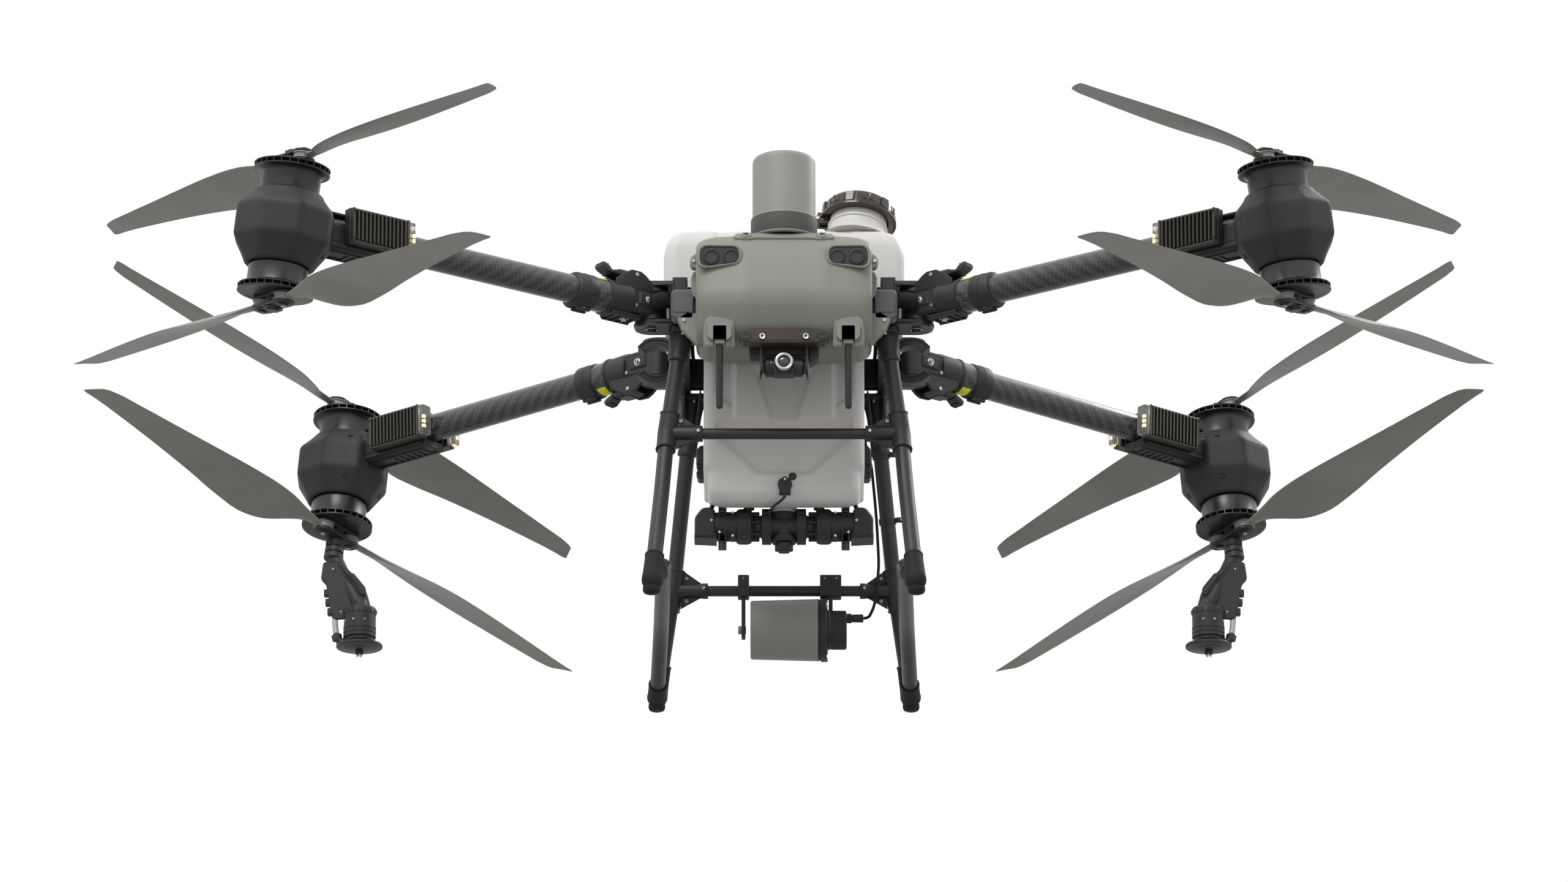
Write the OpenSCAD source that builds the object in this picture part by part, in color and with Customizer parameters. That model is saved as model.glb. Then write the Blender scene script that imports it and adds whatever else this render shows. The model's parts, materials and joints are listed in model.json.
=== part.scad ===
// Agricultural spraying drone: four folding arms, each with a coaxial pair of
// two-blade folding rotors. X runs to the viewer's right when the nose is seen,
// the nose points to -Y, +Z is up and the feet stand on Z = 0.

/* [Rotors] */
// Diameter of each propeller, tip to tip
prop_d = 1372; // [1300:2:1400]
// Distance from the rotor axis to a blade's fold pin
fold_pin_r = 36; // [34:1:40]
// Diameter of a blade's root eye
blade_eye_d = 34; // [30:1:36]
// Thickness of a blade's root eye
blade_eye_t = 12; // [10:1:14]
// Widest chord of a blade behind its pitch axis
blade_trail_w = 66; // [56:1:70]
// Widest chord of a blade ahead of its pitch axis
blade_lead_w = 31; // [26:1:34]
// Diameter of a blade's fold pin
fold_pin_d = 10; // [8:1:12]

/* [Motors] */
// Outer diameter of a motor's turning can
can_d = 102; // [98:1:106]
// Outer diameter of the slotted fan ring on the can
fan_d = 130; // [124:1:136]
// Distance between the outer faces of the two fan rings
pod_h = 226; // [222:2:236]
// Diameter of the hollow motor shaft
shaft_d = 30; // [28:1:32]
// Across-corner width of the padded motor housing
housing_d = 172; // [164:1:178]
// Number of slots round a fan ring
fan_slots = 28; // [20:1:32]

/* [Arms] */
// Outer diameter of the carbon arm tube
arm_d = 50; // [46:1:54]
// Wall of the carbon arm tube
arm_wall = 2.5; // [1.5:0.5:4]
// Diameter of the arm's hinge pin
hinge_pin_d = 16; // [12:1:18]
// Height of an arm's hinge knuckle
knuckle_h = 60; // [56:1:64]
// Diameter of an arm's hinge knuckle
knuckle_d = 58; // [54:1:60]

/* [Motor places] */
// Half the distance between the two front rotors
front_motor_x = 844; // [820:2:880]
// Distance of the front rotors ahead of the middle
front_motor_y = 660; // [640:2:690]
// Half the distance between the two rear rotors
rear_motor_x = 816; // [800:2:860]
// Distance of the rear rotors behind the middle
rear_motor_y = 687; // [670:2:710]

/* [Frame] */
// Height of the top of the side rails above the floor
rail_top = 605; // [600:1:610]
// Height of a side rail
rail_h = 60; // [50:1:64]
// Width of a side rail
rail_w = 26; // [22:1:28]
// Half the distance between the side rails' middles
rail_x = 181; // [180:0.5:182]

/* [Tank] */
// Width of the tank's lower part
tank_low_w = 282; // [260:2:300]
// Width of the tank's wide upper part
tank_top_w = 424; // [410:2:430]
// Front to back depth of the tank
tank_depth = 286; // [270:2:290]
// Height of the tank's top above the floor
tank_top = 748; // [730:1:760]
// Wall of the tank
tank_wall = 4; // [3:0.5:6]
// Outer diameter of the tank's filler cap
cap_d = 128; // [120:1:134]

/* [Radars] */
// Diameter of the upright front radar
radar_d = 110; // [100:1:120]
// Height of the top of the front radar above the floor
radar_top = 822; // [800:1:840]
// Diameter of the rear radar
rear_radar_d = 112; // [104:1:118]

/* [Landing gear] */
// Diameter of the leg tubes
leg_d = 27; // [26:1:32]
// Diameter of the cross tubes
cross_d = 20; // [18:1:24]
// Height of the raised middle of a skid above the floor
skid_rise = 80; // [60:5:100]

/* [Hidden] */
$fn = 48;
eps = 0.01;
gap = 0.3;          // clearance between pieces that touch or pass
run = 0.05;         // radial clearance of a running fit
case_gap = 1;       // clearance of a loose sleeve round another tube
corner_fn = 32;
corner_swell = 1.12;

// ---- places ----
pod_z = 540;                       // middle of a motor pod
front_hinge = [231, -193, 562];
rear_hinge = [226, 242, 605];
front_pod = [front_motor_x, -front_motor_y, pod_z];
rear_pod = [rear_motor_x, rear_motor_y, pod_z];
front_lean = [-0.118, -0.059, 1];  // direction of the front rotor axes
rear_lean = [-0.074, 0.145, 1];    // direction of the rear rotor axes
front_arm_rise = -4;               // height of the arm's outer end over its hinge
rear_arm_rise = -28;
front_phase = [57, -123];          // where the two blades of a front prop point
rear_phase = [126.8, -53.2];

// ---- pod, measured along the rotor axis from its middle ----
fan_z = pod_h / 2;                 // outer face of a fan ring
fan_t = 9;
can_h = 38;
can_wall = 4;
can_low = fan_z - fan_t - can_h;   // open edge of the can
stator_d = can_d - 2 * can_wall - 4;
stator_top = fan_z - fan_t - 6;
plate_t = 4;
hub_z = fan_z + 1.2;               // underside of the first hub plate
pin_gap = blade_eye_t + 2 * gap;
prop_z = hub_z + plate_t + pin_gap / 2;
hub_top = hub_z + 2 * plate_t + pin_gap;
lobe_d = blade_eye_d + 4;
boss_d = 28;
housing_top = can_low - 1;
hollow_d = shaft_d - 8;            // bore through the motor shaft
spray_tube_d = hollow_d - 2 * case_gap;
blade_len = prop_d / 2 - fold_pin_r;

// ---- arms, measured outwards from the hinge pin ----
arm_start = 100;
sleeve_len = 92;
esc_len = 128;
esc_t = 26;
esc_h = 62;
esc_far = 104;                     // clear of the rotor axis
clevis_t = 10;
tube_end = 62;                    // from the rotor axis to the tube's end
clevis_z = knuckle_h / 2 + gap;
lock_len = 74;
lock_w = 34;
lock_pin_z = 44;
lock_pin_d = 6;

// ---- body ----
rail_low = rail_top - rail_h;
rail_front = -232;
rail_back = 420;
tank_y = 56;                       // middle of the tank
tank_pads = [-50, 160];
beam_y = [-116, 216];
rail_in = rail_x - rail_w / 2;
tank_low_z = 255;
shoulder_z = 626;
shell_z = [462, 672];
shell_y = [-330, -138];
shell_w = 306;
radar_y = -236;
radar_base_z = shell_z[1];
pump_z = 222;
pump_y = 0;
pump_len = 313;
knob_pin_d = 12;
battery = [230, 150, 235];
battery_y = 262;
battery_z = 500;
bay_gap = 4;
leg_top = [front_hinge[2] - clevis_z - clevis_t, rail_low];  // front, rear
cross_front = [203, -187, 333];
cross_rear = [198, 313, 199];
foot_z = 19;
front_leg = [[178, -187, leg_top[0]], cross_front, [211, -237, 212], [226, -330, foot_z]];
skid_path = [[226, -330, foot_z], [207, -243, skid_rise], [217, 146, skid_rise], [228, 398, foot_z]];
rear_leg = [[164, 263, leg_top[1]], cross_rear, [228, 398, foot_z]];
antenna_x = 111;
antenna_y = -276;
antenna_pin_y = 10;
antenna_pin_z = 10;
antenna_pin_d = 6;
antenna_mount_z = 452;
camera_z = 446;
camera_y = -292;
camera_pin_d = 8;
lamp_z = 612;
lamp_pitch = 8;
lamp_d = 27;
lamp_x = [92, 126];
cap_rise = 30;
cap_place = [131, 0, tank_top + cap_rise];
cap_tilt = 14;
cap_roll = 5;
clamp_place = [224, -40, 512];
rear_radar_y = cross_rear[1];
rear_radar_z = 126;
spray_place = rear_pod + [-39, -47, -355];
spray_neck = rear_pod - rear_lean / norm(rear_lean) * (hub_top + 44);
spray_motor_d = 60;
spray_disc_d = 84;
spray_pin_d = 8;
boss_low_z = tank_low_z - 10;      // mouth of the tank's outlet
cap_hinge_x = cap_d / 2 + 8;
cap_hinge_z = 6;
cap_pin_d = 5;
neck_d = cap_d - 26;
boot_x = 176;
boot_w = 42;
boot_h = 58;
boot_z = shell_z[0] + 54;
boot_d = 30;
cable_points = [[142, 313, 148], [152, 313, 150], [162, 300, 168], [166, 290, 200],
    [170, 292, 240], [166, 292, 330], [157, 281, 425], [148, 275, 455], [136, 268, 520],
    [138, 262, 560], [150, 262, 574], [168, 262, 575]];

// ---- helpers ----
function lerp(a, b, t) = a + (b - a) * t;
function unit(v) = v / norm(v);

module aim(from, to) {
    d = to - from;
    translate(from) rotate([0, acos(d[2] / norm(d)), atan2(d[1], d[0])]) children();
}

module strut(from, to, d) {
    aim(from, to) cylinder(h = norm(to - from), d = d);
}

// a ball whose poles lie along the tube that leaves it
module ball(from, to, d) {
    aim(from, to) sphere(d = d);
}

// a welded tube frame: the ball at each corner stands a little proud
module tube_path(points, d) {
    for (i = [0 : len(points) - 2]) strut(points[i], points[i + 1], d);
    for (i = [1 : len(points) - 2]) ball(points[i], points[i + 1], d * corner_swell);
}

module rounded_rect(size, r) {
    for (x = [-1, 1], y = [-1, 1])
        translate([x * (size[0] / 2 - r), y * (size[1] / 2 - r)]) circle(r = r, $fn = corner_fn);
    square([size[0] - 2 * r, size[1]], center = true);
    square([size[0], size[1] - 2 * r], center = true);
}

module rounded_block(size, r) {
    linear_extrude(size[2]) rounded_rect([size[0], size[1]], r);
}

module both_sides() {
    children();
    mirror([1, 0, 0]) children();
}

// side -1 is the left, +1 the right
module side(s) {
    if (s < 0) mirror([1, 0, 0]) children();
    else children();
}

module at_pod(place, lean) {
    az = atan2(lean[1], lean[0]);
    translate(place) rotate([0, 0, az]) rotate([0, acos(1 / norm(lean)), 0]) rotate([0, 0, -az])
        children();
}

// local X runs outwards along the arm, Z stays upright
module at_arm(hinge, pod) {
    translate(hinge) rotate([0, 0, atan2(pod[1] - hinge[1], pod[0] - hinge[0])]) children();
}

function arm_reach(hinge, pod) = norm([pod[0] - hinge[0], pod[1] - hinge[1]]);

// ---- rotor ----
// end is 1 on the upper rotor and -1 on the lower one
module flip(end) {
    if (end < 0) mirror([0, 0, 1]) children();
    else children();
}

module fan_ring() {
    difference() {
        translate([0, 0, fan_z - fan_t]) cylinder(h = fan_t, d = fan_d);
        for (i = [0 : fan_slots - 1])
            rotate([0, 0, i * 360 / fan_slots])
                translate([fan_d / 2 - 9, -3.5, fan_z - fan_t + 2]) cube([12, 7, fan_t - 4]);
    }
}

module hub_plate(z) {
    translate([0, 0, z]) linear_extrude(plate_t) {
        for (s = [-1, 1]) translate([s * fold_pin_r, 0]) circle(d = lobe_d);
        square([2 * fold_pin_r, boss_d + 4], center = true);
    }
}

module rotor(phase, hollow) {
    color([0.16, 0.16, 0.17]) difference() {
        union() {
            fan_ring();
            translate([0, 0, can_low]) cylinder(h = can_h, d = can_d);
            translate([0, 0, can_low - 8]) cylinder(h = fan_z - can_low, d = shaft_d);
            rotate([0, 0, phase]) {
                translate([0, 0, fan_z - eps]) cylinder(h = hub_top - fan_z, d = boss_d);
                hub_plate(hub_z);
                hub_plate(hub_z + plate_t + pin_gap);
                for (s = [-1, 1]) translate([s * fold_pin_r, 0, hub_z])
                    cylinder(h = hub_top - hub_z + 3, d = fold_pin_d);
            }
        }
        translate([0, 0, can_low - 1]) difference() {
            cylinder(h = can_h - 3, d = can_d - 2 * can_wall);
            translate([0, 0, -1]) cylinder(h = can_h, d = shaft_d);
        }
        if (hollow) translate([0, 0, can_low - 20]) cylinder(h = 200, d = hollow_d);
    }
}

// ---- blade: sections run from the root to the raked tip ----
// distance from the pin as a share of the length, lead and trail as shares of
// their widest, twist in degrees, thickness
blade_table = [
    [0.020, 0.26, 0.12, 0, 9],
    [0.070, 0.40, 0.20, 14, 9],
    [0.115, 0.55, 0.41, 24, 9],
    [0.170, 0.78, 0.76, 25, 9],
    [0.245, 0.94, 1.00, 22, 9],
    [0.350, 1.00, 0.99, 18, 8],
    [0.490, 0.94, 0.83, 14, 7],
    [0.660, 0.80, 0.64, 11, 5.5],
    [0.830, 0.64, 0.47, 9, 4.5],
    [0.940, 0.48, 0.37, 8, 3.6],
    [0.972, 0.30, 0.34, 8, 2.6]
];
tip_rake = 0.8;       // slope of the cut end across the chord
section_sides = 12;

function blade_point(row, k) =
    let (a = 360 * k / section_sides,
        u = cos(a),
        w = u > 0 ? u * row[1] * blade_lead_w : u * row[2] * blade_trail_w,
        t = sin(a) * row[4] / 2,
        rake = row[0] > 0.9 ? tip_rake * (row[0] - 0.9) / 0.072 : 0,
        s = row[0] * blade_len - w * rake)
    [s, w * cos(row[3]) - t * sin(row[3]), w * sin(row[3]) + t * cos(row[3])];

module blade_skin() {
    rows = len(blade_table);
    n = section_sides;
    points = [for (row = blade_table, k = [0 : n - 1]) blade_point(row, k)];
    sides = [for (i = [0 : rows - 2], k = [0 : n - 1]) each [
        [i * n + k, (i + 1) * n + k, i * n + (k + 1) % n],
        [i * n + (k + 1) % n, (i + 1) * n + k, (i + 1) * n + (k + 1) % n]]];
    root = [[for (k = [0 : n - 1]) k]];
    tip = [[for (k = [0 : n - 1]) rows * n - 1 - k]];
    polyhedron(points, concat(root, sides, tip));
}

// spin is 1 where the leading edge is on +Y of a blade that points to +X
module blade(phase, spin, end) {
    color([0.62, 0.61, 0.58]) rotate([0, 0, phase]) translate([fold_pin_r, 0, end * prop_z])
        mirror([0, spin < 0 ? 1 : 0, 0]) difference() {
            union() {
                blade_skin();
                translate([0, 0, -blade_eye_t / 2]) cylinder(h = blade_eye_t, d = blade_eye_d);
            }
            translate([0, 0, -20]) cylinder(h = 40, d = fold_pin_d + 2 * run);
        }
}

// ---- motor pod ----
module housing_shape() {
    hull() {
        translate([0, 0, housing_top - 16]) cylinder(h = 16, d = can_d + 14, $fn = corner_fn);
        for (z = [-22, 24])
            rotate([0, 0, 22.5]) translate([0, 0, z]) cylinder(h = 8, d = housing_d, $fn = 8);
        translate([0, 0, -housing_top]) cylinder(h = 16, d = can_d + 14, $fn = corner_fn);
    }
}

module pod(azimuth) {
    difference() {
        union() {
            housing_shape();
            for (s = [-1, 1]) flip(s) translate([0, 0, housing_top - 6])
                cylinder(h = stator_top - housing_top + 6, d = stator_d);
        }
        // hollow middle round the shaft column
        difference() {
            translate([0, 0, -28]) cylinder(h = 56, d = housing_d * 0.76);
            translate([0, 0, -29]) cylinder(h = 58, d = shaft_d + 16);
        }
        // cooling and screw holes beside the arm
        for (z = [-34, 36], a = [-42, 42])
            rotate([0, 0, azimuth + a]) translate([50, 0, z]) rotate([0, 90, 0])
                cylinder(h = 60, d = 8);
    }
}

// ---- arm ----
module arm(hinge, place, rise) {
    reach = arm_reach(hinge, place);
    slope = atan2(rise, reach);
    color([0.15, 0.15, 0.16]) at_arm(hinge, place) {
        difference() {
            union() {
                translate([0, 0, -knuckle_h / 2]) cylinder(h = knuckle_h, d = knuckle_d);
                rotate([0, -slope, 0]) {
                    translate([0, -24, -24]) cube([arm_start - 40, 48, 48]);
                    translate([arm_start - 44, 0, 0]) rotate([0, 90, 0])
                        cylinder(h = sleeve_len, d = arm_d + 10);
                    translate([arm_start + sleeve_len - 44, 0, 0]) rotate([0, 90, 0])
                        cylinder(h = 26, d = arm_d + 18);
                }
            }
            translate([0, 0, -60]) cylinder(h = 120, d = hinge_pin_d + 2 * run);
            rotate([0, -slope, 0]) translate([arm_start, 0, 0]) rotate([0, 90, 0])
                cylinder(h = reach, d = arm_d + 2 * eps);
        }
    }
}

// the carbon tube stays a solid of its own beside the sleeve
module arm_tube(hinge, place, rise) {
    reach = arm_reach(hinge, place);
    color([0.12, 0.12, 0.13]) at_arm(hinge, place) rotate([0, -atan2(rise, reach), 0])
        translate([arm_start, 0, 0]) rotate([0, 90, 0]) difference() {
            cylinder(h = reach - arm_start - tube_end, d = arm_d);
            translate([0, 0, -1]) cylinder(h = reach, d = arm_d - 2 * arm_wall);
        }
}

module lock_ears(below) {
    flip(below) for (s = [-1, 1]) translate([42, s * (lock_w / 2 + 5) - 3, 20]) difference() {
        cube([16, 6, 32]);
        translate([8, 7, lock_pin_z - 20]) rotate([90, 0, 0])
            cylinder(h = 8, d = lock_pin_d + 2 * run);
    }
}

module whole_arm(hinge, place, rise, below) {
    arm(hinge, place, rise);
    color([0.15, 0.15, 0.16]) at_arm(hinge, place) lock_ears(below);
    arm_tube(hinge, place, rise);
}

module lock(hinge, place, below) {
    color([0.1, 0.1, 0.11]) at_arm(hinge, place) flip(below) {
        translate([50, lock_w / 2 + 9, lock_pin_z]) rotate([90, 0, 0])
            cylinder(h = lock_w + 18, d = lock_pin_d);
        translate([40, -lock_w / 2 + 1, lock_pin_z - 5]) cube([lock_len, lock_w - 2, 10]);
        translate([40 + lock_len - 16, -lock_w / 2 + 1, lock_pin_z - 1])
            cube([16, lock_w - 2, 14]);
    }
}

// ---- pod with its speed controllers ----
module heat_sink() {
    fins = 13;
    pitch = (esc_len - 12) / fins;
    difference() {
        translate([0, 0, -esc_h / 2]) cube([esc_len, esc_t, esc_h]);
        for (i = [0 : fins - 1])
            translate([8 + i * pitch, esc_t - 9, -esc_h / 2 + 4])
                cube([pitch * 0.5, 10, esc_h - 8]);
    }
}

module cradle(reach) {
    far = reach - tube_end - 4;
    near = reach - esc_far - esc_len;
    difference() {
        translate([near + 14, -arm_d / 2 - 3 - eps, -esc_h / 2 - 6])
            cube([far - near - 14, arm_d + 6, esc_h - 2]);
        translate([near - 1, -14, -esc_h / 2 - 7]) cube([esc_len - 20, 28, 8]);
    }
}

module motor_pod(hinge, place, lean, rise) {
    reach = arm_reach(hinge, place);
    slope = atan2(rise, reach);
    azimuth = atan2(hinge[1] - place[1], hinge[0] - place[0]);
    color([0.13, 0.13, 0.13]) difference() {
        union() {
            at_pod(place, lean) pod(azimuth);
            at_arm(hinge, place) rotate([0, -slope, 0]) cradle(reach);
        }
        at_arm(hinge, place) rotate([0, -slope, 0]) translate([arm_start, 0, 0])
            rotate([0, 90, 0]) cylinder(h = reach - arm_start - tube_end, d = arm_d);
        at_pod(place, lean) translate([0, 0, -200]) cylinder(h = 400, d = shaft_d + 2 * run);
    }
    color([0.27, 0.27, 0.24]) at_arm(hinge, place) rotate([0, -slope, 0])
        for (s = [-1, 1]) mirror([0, s < 0 ? 1 : 0, 0])
            translate([reach - esc_far - esc_len, arm_d / 2 + 3, 2]) heat_sink();
}

// ---- sprinkler under a rear rotor ----
module spray_mount(place, lean) {
    color([0.14, 0.14, 0.15]) {
        at_pod(place, lean) {
            // hollow shaft that hangs through the lower motor
            translate([0, 0, -hub_top - 44]) difference() {
                cylinder(h = hub_top + 24, d = spray_tube_d);
                translate([0, 0, -1]) cylinder(h = hub_top + 40, d = spray_tube_d - 6);
            }
            translate([0, 0, -32]) difference() {
                cylinder(h = 20, d = shaft_d);
                translate([0, 0, -1]) cylinder(h = 22, d = spray_tube_d);
            }
        }
        at_pod(place, lean) translate([0, 0, -hub_top - 40]) difference() {
            cylinder(h = 30, d = 32);
            cylinder(h = 31, d = spray_tube_d);
        }
        spray_arm();
    }
}

module spray_arm() {
    translate(spray_place) difference() {
        union() {
            translate([0, 0, 22]) cylinder(h = 58, d = spray_motor_d);
            translate([0, 0, 16]) cylinder(h = 6 + eps, d = spray_motor_d - 8);
        }
        translate([0, 0, 15]) cylinder(h = 27, d = spray_pin_d + 2 * run);
    }
    hull() {
        translate(spray_neck) cylinder(h = 8, d = 30);
        translate(spray_neck + [4, -4, -50]) cube([26, 26, 8], center = true);
    }
    hull() {
        translate(spray_neck + [4, -4, -50]) cube([26, 26, 8], center = true);
        translate(spray_place + [0, 0, 70]) cylinder(h = 8, d = 34);
    }
}

module spray_disc() {
    color([0.1, 0.1, 0.1]) translate(spray_place) difference() {
        union() {
            cylinder(h = 10, d = spray_disc_d);
            translate([0, 0, -14]) cylinder(h = 16, d = 20);
            cylinder(h = 16 - gap, d = 24);
            translate([0, 0, 10]) cylinder(h = 30, d = spray_pin_d);
        }
        translate([0, 0, -1]) difference() {
            cylinder(h = 6, d = spray_disc_d - 8);
            translate([0, 0, -1]) cylinder(h = 8, d = 30);
        }
    }
}

// ---- centre frame ----
module hinge_bracket(hinge) {
    for (z = [clevis_z, -clevis_z - clevis_t]) translate([hinge[0], hinge[1], hinge[2] + z])
        union() {
            cylinder(h = clevis_t, d = knuckle_d);
            translate([rail_x - hinge[0], -knuckle_d / 2, 0])
                cube([hinge[0] - rail_x, knuckle_d, clevis_t]);
        }
    translate([rail_x - rail_w / 2, hinge[1] - 36, hinge[2] - clevis_z - clevis_t])
        cube([rail_w, 72, 2 * clevis_z + 2 * clevis_t]);
    translate([hinge[0], hinge[1], hinge[2] - clevis_z - clevis_t - 6])
        cylinder(h = 2 * clevis_z + 2 * clevis_t + 12, d = hinge_pin_d);
}

module centre_frame() {
    color([0.12, 0.12, 0.13]) {
        both_sides() {
            difference() {
                translate([rail_x - rail_w / 2, rail_front, rail_low])
                    cube([rail_w, rail_back - rail_front, rail_h]);
                translate([rail_x - rail_w / 2 + 3, rail_front - 1, rail_low + 3])
                    cube([rail_w - 6, rail_back - rail_front + 2, rail_h - 6]);
            }
            hinge_bracket(front_hinge);
            hinge_bracket(rear_hinge);
            // pads under the tank's shoulders
            for (y = tank_pads) translate([rail_x - 9, y - 20, rail_top])
                cube([18, 40, shoulder_z - rail_top]);
        }
        for (y = beam_y) translate([-rail_x, y - 9, rail_low + 12])
            cube([2 * rail_x, 18, rail_h - 24]);
        battery_bay();
    }
}

module battery_bay() {
    w = battery[0] + 2 * bay_gap;
    translate([-w / 2 - 4, battery_y - bay_gap, battery_z - 4 - gap]) cube([w + 8, battery[1], 4]);
    for (s = [-1, 1]) translate([s * (w / 2 + 2) - 2, battery_y - bay_gap, battery_z - 4])
        cube([4, battery[1], 150]);
    translate([-w / 2 - 4, battery_y - bay_gap - 4, battery_z - 4]) cube([w + 8, 4 + eps, 150]);
    for (s = [-1, 1]) translate([s * (w / 2 + 4) + (s < 0 ? -46 : 0), 300, 560])
        cube([46, 60, 8]);
}

// ---- nose ----
module shell_profile(low, high, y0, y1, nose) {
    polygon([[y1, low + 14], [y0 + 70, low], [y0 + 22, low + 16], [nose, low + 78],
        [y0 + 16, high - 34], [y0 + 44, high - 8], [y1, high]]);
}

module shell_body(inset) {
    for (part = [[124, 0], [153, 14]])
        rotate([90, 0, 90]) translate([0, 0, -part[0] + inset])
            linear_extrude(2 * (part[0] - inset)) offset(delta = -part[1] - inset)
                shell_profile(shell_z[0], shell_z[1], shell_y[0], shell_y[1], shell_y[0]);
}

module front_shell() {
    color([0.47, 0.48, 0.44]) {
        difference() {
            union() {
                hull() shell_body(0);
                // seat of the front radar
                translate([0, radar_y, shell_z[1] - 30]) cylinder(h = 30, d = radar_d + 6);
                // side ears that bolt to the rails
                both_sides() translate([140, -205, 572]) cube([rail_in - 140, 50, 12]);
            }
            hull() shell_body(5);
            translate([-120, shell_y[1] - 20, 480]) cube([240, 60, 170]);
            both_sides() for (x = lamp_x)
                translate([x, shell_y[0] + 14, lamp_z]) rotate([-90 + lamp_pitch, 0, 0])
                    translate([0, 0, -50]) cylinder(h = 100, d = lamp_d);
        }
        // antenna mounts
        both_sides() for (s = [-1, 1]) translate([antenna_x + s * 14 - 4, antenna_y - 44, antenna_mount_z])
            difference() {
                cube([8, 40, 34]);
                translate([-1, antenna_pin_y, antenna_pin_z]) rotate([0, 90, 0])
                    cylinder(h = 10, d = antenna_pin_d + 2 * run);
            }
        // bar over the camera
        translate([-72, shell_y[0] - 2, 452]) cube([144, 34, 24]);
        // camera bracket
        both_sides() translate([37, camera_y - 22, camera_z - 46]) difference() {
            cube([5, 44, 60]);
            translate([-1, 22, 20]) rotate([0, 90, 0])
                cylinder(h = 7, d = camera_pin_d + 2 * run);
        }
    }
}

module headlights() {
    color([0.9, 0.9, 0.86]) both_sides() for (x = lamp_x)
        translate([x, shell_y[0] + 14, lamp_z]) rotate([-90 + lamp_pitch, 0, 0])
            cylinder(h = 26, d = lamp_d);
}

module front_radar() {
    color([0.5, 0.51, 0.48]) translate([0, radar_y, radar_base_z])
        rotate_extrude() {
            square([radar_d / 2 + 3, 34]);
            translate([0, 34]) square([radar_d / 2, radar_top - radar_base_z - 42]);
            translate([0, 34]) square([radar_d / 2 - 8, radar_top - radar_base_z - 34]);
            translate([radar_d / 2 - 8, radar_top - radar_base_z - 8]) intersection() {
                circle(r = 8);
                square(8);
            }
        }
}

module camera_head() {
    color([0.3, 0.3, 0.28]) translate([0, camera_y, camera_z - 26]) {
        rotate([0, 90, 0]) translate([0, 0, -42]) cylinder(h = 84, d = camera_pin_d);
        rotate([0, 90, 0]) translate([0, 0, -34]) cylinder(h = 68, d = 34);
        rotate([90, 0, 0]) cylinder(h = 34, d = 30);
        translate([-20, -16, -17]) cube([40, 30, 34]);
    }
}

module antenna() {
    color([0.12, 0.12, 0.12]) translate([antenna_x, antenna_y - 44 + antenna_pin_y,
        antenna_mount_z + antenna_pin_z]) {
        translate([-18, 0, 0]) rotate([0, 90, 0]) cylinder(h = 36, d = antenna_pin_d);
        rotate([0, 90, 0]) translate([0, 0, -9]) cylinder(h = 18, d = 20);
        translate([0, 0, -118]) cylinder(h = 118, d = 12);
        translate([0, 0, -118]) sphere(d = 12);
    }
}

// ---- tank ----
module tank_front(i) {
    low = tank_low_w / 2 - i;
    top = tank_top_w / 2 - i;
    for (m = [0, 1]) mirror([m, 0]) polygon([[0, tank_low_z + i], [low - 20, tank_low_z + i],
        [low - 8, tank_low_z + 24 + i], [low, tank_low_z + 90], [low, shoulder_z + i],
        [top, shoulder_z + i], [top, tank_top - 36], [top - 22, tank_top - i], [0, tank_top - i]]);
}

module tank_side(i) {
    d = tank_depth / 2 - i;
    polygon([[-d + 10, tank_low_z + i], [d - 10, tank_low_z + i], [d, tank_low_z + 30],
        [d, tank_top - 26], [d - 14, tank_top - i], [-d + 14, tank_top - i],
        [-d, tank_top - 26], [-d, tank_low_z + 30]]);
}

module tank_body(inset) {
    intersection() {
        translate([0, tank_y + tank_depth, 0]) rotate([90, 0, 0])
            linear_extrude(2 * tank_depth) tank_front(inset);
        translate([-tank_top_w, tank_y, 0]) rotate([90, 0, 90])
            linear_extrude(2 * tank_top_w) tank_side(inset);
    }
}

module at_cap() {
    translate(cap_place) rotate([-cap_tilt, cap_roll, 0]) children();
}

module tank() {
    color([0.82, 0.81, 0.8]) {
        difference() {
            union() {
                tank_body(0);
                at_cap() translate([0, 0, -2 * cap_rise]) cylinder(h = 2 * cap_rise + 26, d = neck_d);
                translate([0, pump_y, boss_low_z]) cylinder(h = 40, d = 42);
                both_sides() translate([tank_low_w / 2 - 2, 40, 322]) cube([14, 30, 62]);
                at_cap() for (s = [-1, 1]) translate([-cap_hinge_x, s * 10.5, 0]) {
                    translate([0, 3, cap_hinge_z]) rotate([90, 0, 0]) cylinder(h = 6, d = 12);
                    translate([0, -3, 0]) cube([cap_hinge_x - neck_d / 2 + 2, 6, 8]);
                }
            }
            tank_body(tank_wall);
            at_cap() translate([0, 0, -2 * cap_rise - 10]) cylinder(h = 2 * cap_rise + 50, d = neck_d - 12);
            translate([0, pump_y, tank_low_z - 20]) cylinder(h = 60, d = 30);
        }
        at_cap() translate([-cap_hinge_x, 13, cap_hinge_z]) rotate([90, 0, 0])
            cylinder(h = 26, d = cap_pin_d);
    }
}

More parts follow.
